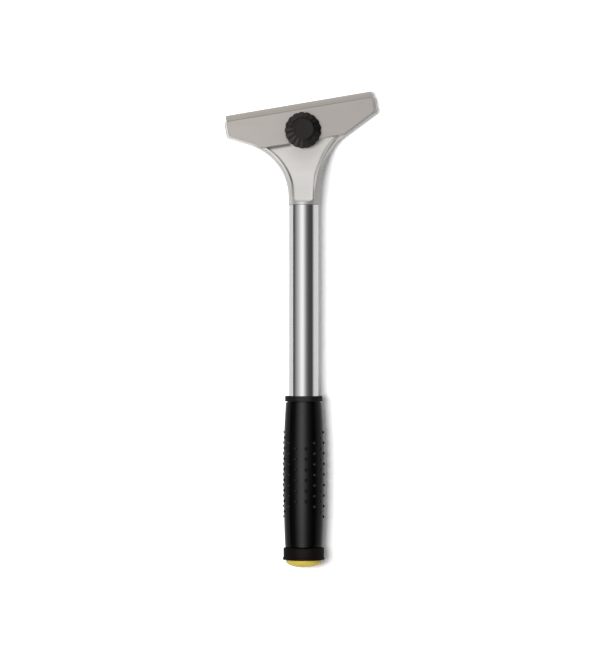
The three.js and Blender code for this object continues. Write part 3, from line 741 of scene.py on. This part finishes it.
class Neck:
    """The neck's two side curves and its levels from the collar (t = 0) to the wings (1)."""

    def __init__(self, sizes):
        self.sizes = sizes
        self.rails = {-1: self.rail(-1, sizes.root_left), 1: self.rail(1, sizes.root_right)}
        self.rims = {-1: sizes.rim_left, 1: sizes.rim_right}

    def rail(self, side, root):
        """Control points of one side: straight out of the collar, then into the wing's slope."""
        s = self.sizes
        start = from_tool([side * s.collar_radius, s.collar_length])
        end = from_head([side * root, rear_edge(s, root)])
        slope = turned_plan([side * math.cos(s.wing_slope), math.sin(s.wing_slope)], SKEW)
        meet = end - slope * (end[0] - start[0]) / slope[0]
        return np.array([start, mix(start, meet, FLOW_RATIO), mix(end, meet, FLOW_RATIO), end])

    def set_in(self, side, t, distance):
        """Plan points on a side curve, moved in square to it."""
        place, direction = bezier(self.rails[side], t)
        inward = np.stack([-side * direction[:, 1], side * direction[:, 0]], -1)
        return place + inward * np.asarray(distance).reshape(-1, 1)

    def crown_radius(self, t):
        """Rounding of the upper corners: it falls from nearly the collar's radius to the wings'."""
        return mix(WING_EDGE_R, COLLAR_ROUND * self.sizes.collar_radius, (1 - t) ** 2.2)

    def belly_radius(self, t):
        """The same for the lower corners, with a steeper fall."""
        return mix(BACK_EDGE_R, COLLAR_ROUND * self.sizes.collar_radius, (1 - t) ** 3)

    def crown(self, t):
        """Height of the upper side, which comes down from the collar to the bed."""
        return mix(AXIS_Z + self.sizes.collar_radius, BED_Z, smooth(t))

    def belly(self, t):
        """Height of the lower side, which reaches the wings' back at 0.6."""
        return mix(AXIS_Z - self.sizes.collar_radius, 0.0, smooth(t, 0, 0.6))

    def floor(self, t):
        """Height of the pocket's floor, whose depth goes from the collar's to the wings'."""
        s = self.sizes
        return self.crown(t) - mix(s.pocket_collar, s.pocket_depth, smooth(t))

    def shoulder(self, t, distance):
        """Height of the rounded shoulder at a distance in from its side: a quarter circle."""
        radius = self.crown_radius(t)
        over = np.maximum(radius - distance, 0)
        return self.crown(t) - radius + np.sqrt(radius**2 - over**2)


def uprights(left, right, low, high, low_radius, high_radius, steps=CORNER_STEPS):
    """Rings of upright rounded rectangles over the lines from left to right: four quarter
    circles, each of its own radius about a centre set in from two sides."""
    width = np.linalg.norm(right - left, axis=1)
    rows = len(width)
    low, high, low_radius, high_radius = (
        np.broadcast_to(np.asarray(value, float), rows)
        for value in (low, high, low_radius, high_radius)
    )
    radius = np.stack([low_radius, low_radius, high_radius, high_radius], 1)[..., None]
    side = np.stack([low_radius, width - low_radius, width - high_radius, high_radius], 1)
    level = np.stack([low + low_radius] * 2 + [high - high_radius] * 2, 1)
    start = np.array([math.pi, 1.5 * math.pi, 0, 0.5 * math.pi])[None, :, None]
    angle = start + np.linspace(0, math.pi / 2, steps + 1)[None, None, :]
    across = (side[..., None] + radius * np.cos(angle)).reshape(rows, -1, 1)
    height = (level[..., None] + radius * np.sin(angle)).reshape(rows, -1, 1)
    plan = left[:, None] + (right - left)[:, None] * across / width[:, None, None]
    return np.concatenate([plan, height], -1)


def wing_outline(s):
    """Right half of the wings' outline in the head's plan, round the end to the nose."""
    slope = np.array([math.cos(s.wing_slope), math.sin(s.wing_slope)])
    rear = np.array([s.wing_half, rear_edge(s, s.wing_half)])
    root = rear - slope * 4 * s.rear_corner
    bevel = np.array([s.wing_half, s.bevel_ahead])
    front = np.array([s.wing_half, s.wing_front])
    nose = np.array([s.wing_half - 2 * s.front_corner, s.wing_front])
    corners = np.array([root, rear, bevel, front, nose])
    radii = np.array([0, s.rear_corner, 0, s.front_corner, 0])
    line = rounded(corners, radii, 9)
    keep = np.linalg.norm(np.diff(line, axis=0), axis=1) > 0.01 * MM
    line = line[1:][keep]
    return line[line[:, 1] < s.wing_front - 1e-7]


def casting_body(neck):
    """The casting without its recesses: collar, neck and wings as one run of uprights."""
    s = neck.sizes
    t = np.linspace(0, 1, NECK_STEPS + 1)
    ends = from_tool([[-s.collar_radius, 0], [s.collar_radius, 0]])
    outline = wing_outline(s)
    nose = np.clip((outline[:, 1] - s.bevel_ahead) / (s.wing_front - s.bevel_ahead), 0, 1)
    low = nose * (BED_Z - s.nose_thick)
    wing_edge = np.minimum(WING_EDGE_R, EDGE_SHARE * (BED_Z - low))
    wing_foot = np.minimum(BACK_EDGE_R, EDGE_SHARE * (BED_Z - low))
    outline = np.concatenate([outline, outline[-1:] + NOSE_TAIL])
    low, wing_edge, wing_foot = (np.append(v, v[-1]) for v in (low, wing_edge, wing_foot))
    level = np.append(0.0, t)
    rings = uprights(
        np.concatenate([ends[:1], bezier(neck.rails[-1], t)[0], from_head(outline * [-1, 1])]),
        np.concatenate([ends[1:], bezier(neck.rails[1], t)[0], from_head(outline)]),
        np.append(neck.belly(level), low),
        np.append(neck.crown(level), np.full(len(outline), BED_Z)),
        np.append(neck.belly_radius(level), wing_foot),
        np.append(neck.crown_radius(level), wing_edge),
    )
    return solid("cast_head", rings)


def web_pocket(neck):
    """Cutter for the recess between the rims. Over the collar its sides close in by a quarter
    ellipse of the end's reach and aside, while its floor comes down in a step and a slope."""
    s = neck.sizes
    quarter = np.linspace(0, math.pi / 2, 12, endpoint=False)
    y = s.collar_length - s.end_reach * np.cos(quarter)
    closing = s.end_aside * (1 - np.sin(quarter))
    end_left = from_tool(np.stack([s.rim_left + closing - s.collar_radius, y], -1))
    end_right = from_tool(np.stack([s.collar_radius - s.rim_right - closing, y], -1))
    deep = mix(POCKET_END_STEP, 1, np.sin(quarter))
    t = np.linspace(0, 1, NECK_STEPS)
    rings = uprights(
        np.concatenate([end_left, neck.set_in(-1, t, s.rim_left)]),
        np.concatenate([end_right, neck.set_in(1, t, s.rim_right)]),
        np.concatenate([mix(neck.crown(0.0), neck.floor(0.0), deep), neck.floor(t)]),
        AXIS_Z + 2 * s.collar_radius,
        POCKET_FILLET,
        POCKET_FILLET,
        6,
    )
    return solid("pocket", rings)


def rim_bead(neck, side):
    """A rounded bead along one edge of the pocket, which rises out of the shoulder."""
    s = neck.sizes
    rim = neck.rims[side]
    t = np.linspace(0, 1, NECK_STEPS + 1)
    outer = neck.set_in(side, t, rim - s.bead_width)
    inner = neck.set_in(side, t, rim)
    top = neck.shoulder(t, rim - s.bead_width / 2) + s.bead_height * smooth(t, 0, 0.3)
    left, right = (outer, inner) if side < 0 else (inner, outer)
    rings = uprights(left, right, top - s.pocket_depth, top, BEAD_FOOT_R, BEAD_TOP_R, 6)
    return solid("bead", rings)


def strip(rear, front, half):
    """Plan outline of a strip along the blade, between two distances ahead of the screw."""
    return from_head([[-half, rear], [half, rear], [half, front], [-half, front]])


def trim_ahead(piece, v):
    """Cuts off all of a piece that lies more than v ahead of the clamp screw."""
    outline = strip(v, v + CUT_SPAN, CUT_SPAN)
    combine(piece, solid("block", prism(outline, -CUT_SPAN, CUT_SPAN)))


def drill(piece, low, high):
    """Cuts the clamp screw's clearance hole through a piece, between two heights."""
    combine(piece, solid("hole", about_screw(np.full(2, HOLE_R), [low, high], 48)))


def back_hollow(corners, side, depth):
    """Cutter for one hollow in the casting's back, with rounded corners and a soft floor."""
    outline = rounded(np.asarray(corners) * [side, 1], HOLLOW_CORNER_R, closed=True)
    return solid("hollow", prism(from_head(outline), -CUT_OVER, depth, HOLLOW_FLOOR_R))


def back_hollows(s):
    """Cutters for the four hollows: two a side, with a rib between them."""
    wall, depth, rib, hub = 3 * MM, 4 * MM, 3 * MM, 10 * MM
    slanted = wall / math.cos(s.wing_slope)
    rib_start, rear, front = 27.3 * MM, -5 * MM, s.bevel_ahead - wall / 2
    rib_end = rib_start + rib
    tip = (front - wall - slanted + s.wing_rear) / math.tan(s.wing_slope)
    inner = [[hub, rear], [rib_start, rear], [rib_start, front], [hub, front]]
    outer = [[u, rear_edge(s, u) + slanted] for u in (rib_end, tip)]
    outer += [[tip, front], [rib_end, front]]
    return [back_hollow(corners, side, depth) for side in (-1, 1) for corners in (inner, outer)]


def hexagon(circumradius):
    """Plan outline of a hexagon about the clamp screw, with corners straight ahead and behind."""
    angle = np.arange(6) * TURN / 6 + math.pi / 6
    return from_head(np.stack([np.cos(angle), np.sin(angle)], -1) * circumradius)


def cast_head(sizes, tumbled, blasted):
    """The whole casting: body, pocket, beads, seat, back hollows, nut pocket and hole. The
    pocket's faces take the blasted finish."""
    neck = Neck(sizes)
    head = casting_body(neck)
    head.data.materials.append(tumbled)
    pocket = web_pocket(neck)
    pocket.data.materials.append(blasted)
    trim_ahead(pocket, POCKET_UNDER - sizes.plate_behind)
    combine(head, pocket)
    for side in (-1, 1):
        bead = rim_bead(neck, side)
        bead.data.materials.append(tumbled)
        trim_ahead(bead, -sizes.plate_behind - 2 * SEAT_GAP)
        combine(head, bead, "UNION")
    seat = prism(plate_outline(sizes, 2 * SEAT_GAP), BED_Z, AXIS_Z + 2 * sizes.collar_radius)
    combine(head, solid("plate seat", seat))
    for hollow in back_hollows(sizes):
        combine(head, hollow)
    nut_r = (NUT_HIGH[2] - NUT_LOW[2]) * 2 / math.sqrt(3) + 2 * SEAT_GAP
    nut_top = NUT_HIGH[2] + SEAT_GAP
    combine(head, solid("nut pocket", prism(hexagon(nut_r), -CUT_OVER, nut_top)))
    drill(head, -CUT_OVER, BED_Z + CUT_OVER)
    return head


# ---------------------------------------------------------------- clamp and knob

HEEL_FRONT = 5.1 * MM
PLATE_EDGE_R = 0.45 * MM
PLATE_CORNER_R = 0.5 * MM
SECTION_EDGE_R = 0.2 * MM
THREAD_PITCH = 1 * MM
THREAD_DEPTH = 0.55 * MM
THREAD_R = 3 * MM
TAIL_CHAMFER = 0.9 * MM
KNOB_BORE_R = 0.2 * MM
KNOB_CORNER_R = np.array([0, 0.5, 2, 2.5, 0.5, 0.25, 0.4, 0]) * MM
KNOB_SHOULDER = (0.84, 0.88)  # shares of the taper and of the height where the flank ends
KNOB_DISH = (0.9, 0.84)  # edge and floor of the hollow, as shares of the top's radius
KNOB_ROWS = 90
RIB_POINTS = 18
RIB_FADE = 2 * MM
NUT_HALF = 5 * MM
NUT_BORE_R = 3.15 * MM
NUT_EASE = 0.4 * MM
NUT_FACE = 0.97  # share of the half width inside which the nut's end faces are flat


def plate_outline(s, room=0.0):
    """Plan outline of the clamp plate, counter-clockwise, with corners just broken. Room moves
    every edge outwards by the same amount."""
    slope = math.tan(s.wing_slope)
    end_v = -s.plate_behind + (s.plate_half - s.plate_rear_half) * slope
    end_v -= room * math.tan((math.pi / 2 - s.wing_slope) / 2)
    rear_half = s.plate_rear_half + room * math.tan(s.wing_slope / 2)
    rear, front, half = -s.plate_behind - room, s.plate_front + room, s.plate_half + room
    corners = [
        [-rear_half, rear], [rear_half, rear], [half, end_v],
        [half, front], [-half, front], [-half, end_v],
    ]
    return from_head(rounded(corners, PLATE_CORNER_R, closed=True))


def clamp_plate(s):
    """The plate with rounded upper edges, a heel behind the blade and a hole."""
    rings = prism(plate_outline(s), PLATE_LOW[2], PLATE_HIGH[2], PLATE_EDGE_R, 6)
    plate = solid("steel_clamp_plate", rings)
    outline = strip(HEEL_FRONT, 2 * s.plate_half, 2 * s.plate_half)
    jaw_top = BLADE_HIGH[2] + SEAT_GAP
    combine(plate, solid("jaw", prism(outline, jaw_top - CUT_OVER, jaw_top)))
    drill(plate, 0, PLATE_HIGH[2] + CUT_OVER)
    return plate


def ring_section(inner, outer, low, high):
    """Closed profile of a plain ring with eased edges."""
    corners = [[inner, low], [outer, low], [outer, high], [inner, high]]
    return rounded(corners, SECTION_EDGE_R, closed=True)


def flat_washer():
    """A ring with eased edges."""
    radius = (WASHER_HIGH[0] - WASHER_LOW[0]) / 2
    profile = ring_section(HOLE_R, radius, WASHER_LOW[2], WASHER_HIGH[2])
    return solid("flat_washer", about_screw(profile[:, 0], profile[:, 1]), wrap=True)


def ribbed_knob(s):
    """Round ribs up a tapering flank. The radius is the flank's radius at that height less the
    groove depth times 1 - |sin(ribs a / 2)| to the rib shape's power. The grooves fade out at
    the top disc."""
    low, high = KNOB_LOW[2], KNOB_HIGH[2]
    height = high - low
    foot_r = (KNOB_HIGH[0] - KNOB_LOW[0]) / 2
    shoulder_r = mix(foot_r, s.top_radius + 0.9 * MM, KNOB_SHOULDER[0])
    corners = [
        [KNOB_BORE_R, 0], [foot_r, 0], [foot_r, s.skirt], [shoulder_r, KNOB_SHOULDER[1] * height],
        [s.top_radius, height], [KNOB_DISH[0] * s.top_radius, height],
        [KNOB_DISH[1] * s.top_radius, height - s.dish], [KNOB_BORE_R, height - s.dish],
    ]
    profile = rounded(corners, KNOB_CORNER_R, 12)
    along = np.linalg.norm(np.diff(profile, axis=0, prepend=profile[:1]), axis=1).cumsum()
    even = np.linspace(0, along[-1], KNOB_ROWS)
    radius, level = (np.interp(even, along, profile[:, k]) for k in (0, 1))
    fade = smooth(radius, s.top_radius, s.top_radius + RIB_FADE) * (level > 0.3 * MM)
    fade = np.maximum(fade, smooth(radius, s.top_radius, foot_r - 0.6 * MM))
    angle = full_turn(s.ribs * RIB_POINTS)
    groove = 1 - np.abs(np.sin(s.ribs * angle / 2)) ** s.rib_shape
    surface_r = radius[:, None] - s.rib_depth * fade[:, None] * groove[None]
    return solid("ribbed_knob", about_screw(surface_r, low + level, len(angle)))


def clamp_screw():
    """Screw shank with a rolled thread: its radius falls and rises by a triangle wave of the
    height over the pitch less the share of a turn, and the tail is chamfered."""
    low, high = BOLT_LOW[2], KNOB_LOW[2] + 2 * MM
    angle = full_turn(48)
    level = np.linspace(low, high, 200)[:, None]
    wave = np.abs(((level / THREAD_PITCH - angle / TURN) % 1) * 2 - 1)
    thread = THREAD_R - THREAD_DEPTH * wave * smooth(level, low, low + 0.5 * MM)
    chamfer = THREAD_R - TAIL_CHAMFER + (level - low)
    return solid("clamp_screw", about_screw(np.minimum(thread, chamfer), level, len(angle)))


def clamp_nut():
    """A hexagon nut. Its radius over the angle is the half width over the cosine of the angle to
    the nearest flat, and its end faces fall away by 30 degrees outside the inscribed circle."""
    angle = full_turn(144)
    to_flat = (angle - SKEW - math.pi / 2 + TURN / 12) % (TURN / 6) - TURN / 12
    outer = NUT_HALF / np.cos(to_flat)
    even = np.zeros(len(angle))
    bore, circle = even + NUT_BORE_R, even + NUT_FACE * NUT_HALF
    fall = np.maximum(outer - circle, 0) * math.tan(math.radians(30))
    radius = np.stack([bore, bore + NUT_EASE, circle, outer])
    set_in = np.stack([even + NUT_EASE, even, even, fall])
    radius = np.concatenate([radius, radius[::-1]])
    level = np.concatenate([NUT_LOW[2] + set_in, NUT_HIGH[2] - set_in[::-1]])
    return solid("clamp_nut", about_screw(radius, level, len(angle)), wrap=True)


# ---------------------------------------------------------------- handle

END_EASE = 0.6 * MM
FLANGE_EASE = 0.7 * MM
PIMPLE_SHARES = np.array([1.15, 1.05, 0.95, 0.8, 0.6, 0.35, 0.1])
PIMPLE_ROOT = -0.5  # depth of a pimple's buried foot, as a share of its height
RING_CORNER_R = np.array([0.1, 0.5, 0.25, 0.25, 0.5, 0.1]) * MM
PLUG_CORNER_R = np.array([0, 0.9, 0.3, 0.3, 0.8, 0]) * MM
DOME_ARC = (0.02, 0.92 * math.pi / 2)  # angles from the dome's tip to its rim


def chromed_tube():
    """A drawn tube with eased ends."""
    profile = ring_section(TUBE_R - TUBE_WALL, TUBE_R, TUBE_LOW[1], TUBE_HIGH[1])
    return solid("chromed_tube", along_handle(profile, 192), wrap=True)


def grip_radius(s, y):
    """Radius of the grip's body: a parabola each way from its middle."""
    low, high = GRIP_LOW[1], GRIP_HIGH[1] - s.flange_length
    middle = (low + high) / 2
    part = (y - middle) / ((high - low) / 2)
    return mix(s.middle_radius, np.where(part > 0, s.upper_radius, s.lower_radius), part**2)


def rubber_grip(s):
    """Sleeve with a flange and two patches of pimples, each patch widest at its middle column."""
    low, high = GRIP_LOW[1], GRIP_HIGH[1]
    body_top = high - s.flange_length
    body_y = np.linspace(low + END_EASE, body_top - s.undercut, 48)
    body = np.stack([grip_radius(s, body_y), body_y], -1)
    neck_r = grip_radius(s, body_top) - s.undercut
    body = np.concatenate([body, [[neck_r, body_top - 0.8 * s.undercut], [neck_r, body_top]]])
    inside = [[grip_radius(s, low) - END_EASE, low], [SLEEVE_BORE, low], [SLEEVE_BORE, high]]
    rim, face = s.flange_radius, s.flange_radius - FLANGE_EASE
    flange = [[face, high], [rim, high], [rim, body_top], [face, body_top]]
    profile = np.concatenate([inside, rounded(flange, END_EASE, 6), body[::-1]])
    points, faces = skin(along_handle(profile), wrap=True)
    bump_points, bump_faces = pimples(s)
    faces += [face + len(points) for face in bump_faces]
    return new_object("rubber_grip", np.concatenate([points, bump_points]), faces)


def pimples(s):
    """All pimples at once: each a low round hill whose height over its foot is the height times
    (1 - q^2), at the share q of its radius, standing square to the grip's surface."""
    middle = (GRIP_LOW[1] + GRIP_HIGH[1] - s.flange_length) / 2
    outer = (s.columns - 1) // 2
    column = np.arange(-outer, outer + 1)
    count = s.longest - np.abs(column)
    column = np.repeat(column, count)
    index = np.concatenate([np.arange(n) - (n - 1) / 2 for n in count])
    y = np.tile(middle + index * s.bump_pitch, 2)
    angle = np.concatenate([side * (math.pi / 2 + column * s.column_angle) for side in (-1, 1)])
    angle = angle + s.turn
    share = PIMPLE_SHARES[:, None]
    hill = np.where(share > 1, PIMPLE_ROOT, 1 - np.minimum(share, 1) ** 2)
    around = full_turn(16)
    along = s.bump_radius * share * np.cos(around)
    across = s.bump_radius * share * np.sin(around)
    rise = np.broadcast_to(s.bump_height * hill, along.shape)
    out = grip_radius(s, y)[:, None, None] + rise - across**2 / (2 * s.middle_radius)
    sine, cosine = np.sin(angle)[:, None, None], np.cos(angle)[:, None, None]
    x = AXIS_X + out * sine + across * cosine
    z = AXIS_Z + out * cosine - across * sine
    rings = np.stack([x, y[:, None, None] + np.broadcast_to(along, x.shape), z], -1)
    return skin(rings)


def grip_end_ring(s):
    """Ring with a lip at its lower edge."""
    low, high = RING_LOW[1], RING_HIGH[1]
    radius = (RING_HIGH[0] - RING_LOW[0]) / 2
    body = radius - s.ring_lip
    lip = low + s.ring_lip_length
    corners = [
        [SLEEVE_BORE, low], [radius, low], [radius, lip],
        [body, lip + s.ring_lip], [body, high], [SLEEVE_BORE, high],
    ]
    profile = rounded(corners, RING_CORNER_R, 6, closed=True)
    return solid("grip_end_ring", along_handle(profile), wrap=True)


def end_plug(s):
    """Domed cap, a quarter ellipse over an upright band, with a stem in the tube."""
    foot = RING_LOW[1] - SEAT_GAP
    tip = PLUG_LOW[1]
    angle = np.linspace(*DOME_ARC, 28)
    rise = s.dome_height - s.dome_rim
    dome = np.stack([s.dome_radius * np.sin(angle), tip + rise * (1 - np.cos(angle))], -1)
    stem = TUBE_R - TUBE_WALL - SEAT_GAP - END_EASE
    corners = [
        dome[-1], [s.dome_radius, foot - s.dome_rim], [s.dome_radius, foot],
        [stem, foot], [stem, PLUG_HIGH[1]], [1 * MM, PLUG_HIGH[1]],
    ]
    rim = rounded(corners, PLUG_CORNER_R, 6)
    return solid("end_cap", along_handle(np.concatenate([dome, rim[1:]])))


# ---------------------------------------------------------------- operators


class SCRAPER_OT_head(Operator):
    """Builds the die-cast head"""

    bl_idname = "scraper.head"
    bl_label = "Cast Head"

    def execute(self, context):
        tints = context.scene.scraper_finishes
        slot = "cast_aluminium"
        tumbled, _ = surface("cast metal", slot, cast_metal, tints.cast_metal)
        blasted, _ = surface("blasted metal", slot, blasted_metal, tints.cast_web)
        head = soften(cast_head(context.scene.scraper_head, tumbled, blasted), 30)
        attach(head, "head")
        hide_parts("head_casting")
        return {"FINISHED"}


class SCRAPER_OT_clamp(Operator):
    """Builds the clamp plate, washer, screw and nut"""

    bl_idname = "scraper.clamp"
    bl_label = "Clamp"

    def execute(self, context):
        tints = context.scene.scraper_finishes
        look = (tints.plate_steel, 0.36, 10, 0.88)
        steel = surface("satin steel", "satin_steel", brushed_steel, *look)
        zinc = surface("zinc plate", "zinc_plated_steel", zinc_plate, tints.zinc)
        plate = clamp_plate(context.scene.scraper_head)
        dress(soften(plate, 40), steel, "clamp", "clamp_plate")
        dress(soften(flat_washer(), 35), zinc, "washer", "washer")
        dress(soften(clamp_screw(), 60), zinc, "knob", "knob_screw")
        dress(soften(clamp_nut(), 25), zinc, "head", "hex_nut")
        return {"FINISHED"}


class SCRAPER_OT_blade(Operator):
    """Gives the blade its ground finish"""

    bl_idname = "scraper.blade"
    bl_label = "Blade"

    def execute(self, context):
        tint = context.scene.scraper_finishes.blade_steel
        material, _ = surface("blade steel", "blade_steel", brushed_steel, tint, 0.3, 6)
        for slot in frame["nodes"]["blade"].material_slots:
            slot.link = "OBJECT"
            slot.material = material
        return {"FINISHED"}


class SCRAPER_OT_knob(Operator):
    """Builds the ribbed knob"""

    bl_idname = "scraper.knob"
    bl_label = "Knob"

    def execute(self, context):
        tint = context.scene.scraper_finishes.knob_black
        sizes = context.scene.scraper_knob
        black = surface("black moulding", "black_moulding", knob_moulding, tint, sizes.ribs)
        dress(soften(ribbed_knob(sizes), 50), black, "knob", "knob")
        return {"FINISHED"}


class SCRAPER_OT_tube(Operator):
    """Builds the chromed tube"""

    bl_idname = "scraper.tube"
    bl_label = "Tube"

    def execute(self, context):
        tint = context.scene.scraper_finishes.chrome
        bright = surface("chrome", "chromed_tube", chrome, tint)
        dress(soften(chromed_tube(), 50), bright, "head", "tube")
        return {"FINISHED"}


class SCRAPER_OT_grip(Operator):
    """Builds the rubber grip with its pimples"""

    bl_idname = "scraper.grip"
    bl_label = "Grip"

    def execute(self, context):
        tint = context.scene.scraper_finishes.rubber
        sizes = context.scene.scraper_grip
        look = (tint, 2400, 0.2, 6, (0.68, 0.1), GRIP_HIGH[1] - sizes.flange_length)
        rubber = surface("black rubber", "black_rubber", moulded, *look)
        dress(soften(rubber_grip(sizes), 50), rubber, "head", "grip_sleeve")
        return {"FINISHED"}


class SCRAPER_OT_end(Operator):
    """Builds the ring and the plug at the handle's end"""

    bl_idname = "scraper.end"
    bl_label = "Handle End"

    def execute(self, context):
        sizes, tints = context.scene.scraper_end, context.scene.scraper_finishes
        look = (tints.ring_black, 3800, 0.55, 30, (0.2, 0.04))
        black = surface("ring plastic", "end_ring_plastic", moulded, *look)
        yellow = surface("yellow moulding", "yellow_plastic", yellow_moulding, tints.plug_yellow)
        dress(soften(grip_end_ring(sizes), 50), black, "head", "end_ring")
        dress(soften(end_plug(sizes), 50), yellow, "head", "end_plug")
        return {"FINISHED"}


# ---------------------------------------------------------------- studio

# Brightness of the overhead window at angles across the handle, in degrees right of straight up
WINDOW = (
    (-180, 1.0), (-105, 0.9), (-92, 0.1), (-80, 0.09), (-72, 0.2), (-62, 0.36), (-45, 0.62),
    (-36, 0.78), (-28, 1.0), (-20, 1.2), (-11, 1.24), (-3, 1.08), (4, 0.8), (11, 0.54), (18, 0.34),
    (26, 0.2), (34, 0.12), (50, 0.075), (67, 0.07), (74, 0.22), (82, 0.6), (90, 0.85), (94, 0.9),
    (180, 0.95),
)
WINDOW_PEAK = 1.24
WHITE = (1, 1, 1, 1)
FLOOR_RADIUS = 600 * MM
FLOOR_DROP = 0.1 * MM
LAMP_PLACE = (-0.76, 0.07, 2.45)
LAMP_SIZE = (0.75, 1.1)
CAMERA_CLIP = (0.05, 20)


def studio_world(sky):
    """White for the camera, a soft overhead window with dim sides in reflections, and an even
    sky for dull surfaces. The window's brightness follows the angle across the handle, evens
    out towards the head, and halves in a band towards the grip's end."""
    world = bpy.data.worlds.new("studio")
    g = Graph(world)
    axes = g.split(g.add("ShaderNodeTexCoord").outputs["Generated"])
    across = g.math("ARCTAN2", axes[0], axes[2])
    ramp = g.add("ShaderNodeValToRGB", {"Fac": g.remap(across, -math.pi, math.pi)})
    elements = ramp.color_ramp.elements
    while len(elements) < len(WINDOW):
        elements.new(0.5)
    for element, (angle, level) in zip(elements, WINDOW):
        element.position = (angle + 180) / 360
        element.color = (level, level, level, 1)
    window = ramp.outputs["Color"]
    paler = g.remap(window, 0, WINDOW_PEAK, 0.62, 1.02)
    window = g.blend(g.remap(axes[1], 0.15, 0.6), window, paler)
    behind = g.times(g.band(axes[1], -0.175, 0.03, 0.03), 0.5)
    window = g.blend(behind, window, BLACK)
    path = g.add("ShaderNodeLightPath").outputs
    shiny, dull, white = (
        g.add("ShaderNodeBackground", {"Color": look, "Strength": strength}).outputs[0]
        for look, strength in ((window, 1), (WHITE, sky), (WHITE, 1))
    )
    reflected = g.math("MAXIMUM", path["Is Glossy Ray"], path["Is Transmission Ray"])
    seen = g.add("ShaderNodeMixShader", {0: reflected, 1: dull, 2: shiny}).outputs[0]
    seen = g.add("ShaderNodeMixShader", {0: path["Is Camera Ray"], 1: seen, 2: white}).outputs[0]
    g.add("ShaderNodeOutputWorld", {"Surface": seen})
    return world


def floor_finish(white):
    """Dull white floor. The camera sees it in a lighter colour, which is pure white where no
    shadow falls."""
    material = bpy.data.materials.new("floor")
    g = Graph(material)
    seen = g.add("ShaderNodeLightPath").outputs["Is Camera Ray"]
    paint = g.blend(seen, (0.94, 0.94, 0.94), (white, white, white))
    dull = g.add("ShaderNodeBsdfDiffuse", {"Color": paint}).outputs[0]
    g.add("ShaderNodeOutputMaterial", {"Surface": dull})
    return material


def floor_disc():
    """A round floor just under the part."""
    angle = full_turn(96)
    plan = FLOOR_RADIUS * np.stack([np.cos(angle), np.sin(angle)])
    rim = np.stack([*plan, np.full(len(angle), -FLOOR_DROP)], -1)
    return new_object("floor", rim, [np.arange(len(angle))[None]])


class SCRAPER_OT_stage(Operator):
    """Makes the floor, light and camera"""

    bl_idname = "scraper.stage"
    bl_label = "Stage"

    def execute(self, context):
        scene = context.scene
        studio = scene.scraper_studio
        floor = floor_disc()
        floor.data.materials.append(floor_finish(studio.floor_white))
        scene.world = studio_world(studio.sky)
        lamp = bpy.data.lights.new("window", "AREA")
        lamp.shape = "RECTANGLE"
        lamp.size, lamp.size_y = LAMP_SIZE
        lamp.energy = studio.key_power
        key = bpy.data.objects.new("window", lamp)
        key.location = LAMP_PLACE
        key.visible_glossy = False
        key.rotation_mode = "QUATERNION"
        key.rotation_quaternion = key.location.to_track_quat("Z", "Y")
        scene.collection.objects.link(key)
        camera = bpy.data.objects.new("camera", bpy.data.cameras.new("camera"))
        camera.data.lens = studio.lens
        camera.data.clip_start, camera.data.clip_end = CAMERA_CLIP
        camera.location = (studio.camera_x, studio.camera_y, studio.camera_height)
        scene.collection.objects.link(camera)
        scene.camera = camera
        scene.view_settings.view_transform = "Standard"
        return {"FINISHED"}


OPERATORS = (
    SCRAPER_OT_stage,
    SCRAPER_OT_head,
    SCRAPER_OT_clamp,
    SCRAPER_OT_blade,
    SCRAPER_OT_knob,
    SCRAPER_OT_tube,
    SCRAPER_OT_grip,
    SCRAPER_OT_end,
)


class SCRAPER_PT_panel(Panel):
    """Lists the scraper's operators and settings"""

    bl_idname = "SCRAPER_PT_panel"
    bl_label = "Scraper"
    bl_space_type = "VIEW_3D"
    bl_region_type = "UI"
    bl_category = "Scraper"

    def draw(self, context):
        for operator in OPERATORS:
            self.layout.operator(operator.bl_idname)
        for name, group in GROUPS.items():
            column = self.layout.column(heading=group.__doc__)
            settings = getattr(context.scene, name)
            for setting in group.__annotations__:
                column.prop(settings, setting)


def register():
    for group in GROUPS.values():
        bpy.utils.register_class(group)
    for name, group in GROUPS.items():
        setattr(bpy.types.Scene, name, PointerProperty(type=group))
    for item in (*OPERATORS, SCRAPER_PT_panel):
        bpy.utils.register_class(item)


def unregister():
    for item in (SCRAPER_PT_panel, *reversed(OPERATORS)):
        bpy.utils.unregister_class(item)
    for name, group in reversed(GROUPS.items()):
        delattr(bpy.types.Scene, name)
        bpy.utils.unregister_class(group)


def main():
    register()
    for operator in OPERATORS:
        group, name = operator.bl_idname.split(".")
        getattr(getattr(bpy.ops, group), name)()


if __name__ == "__main__":
    main()
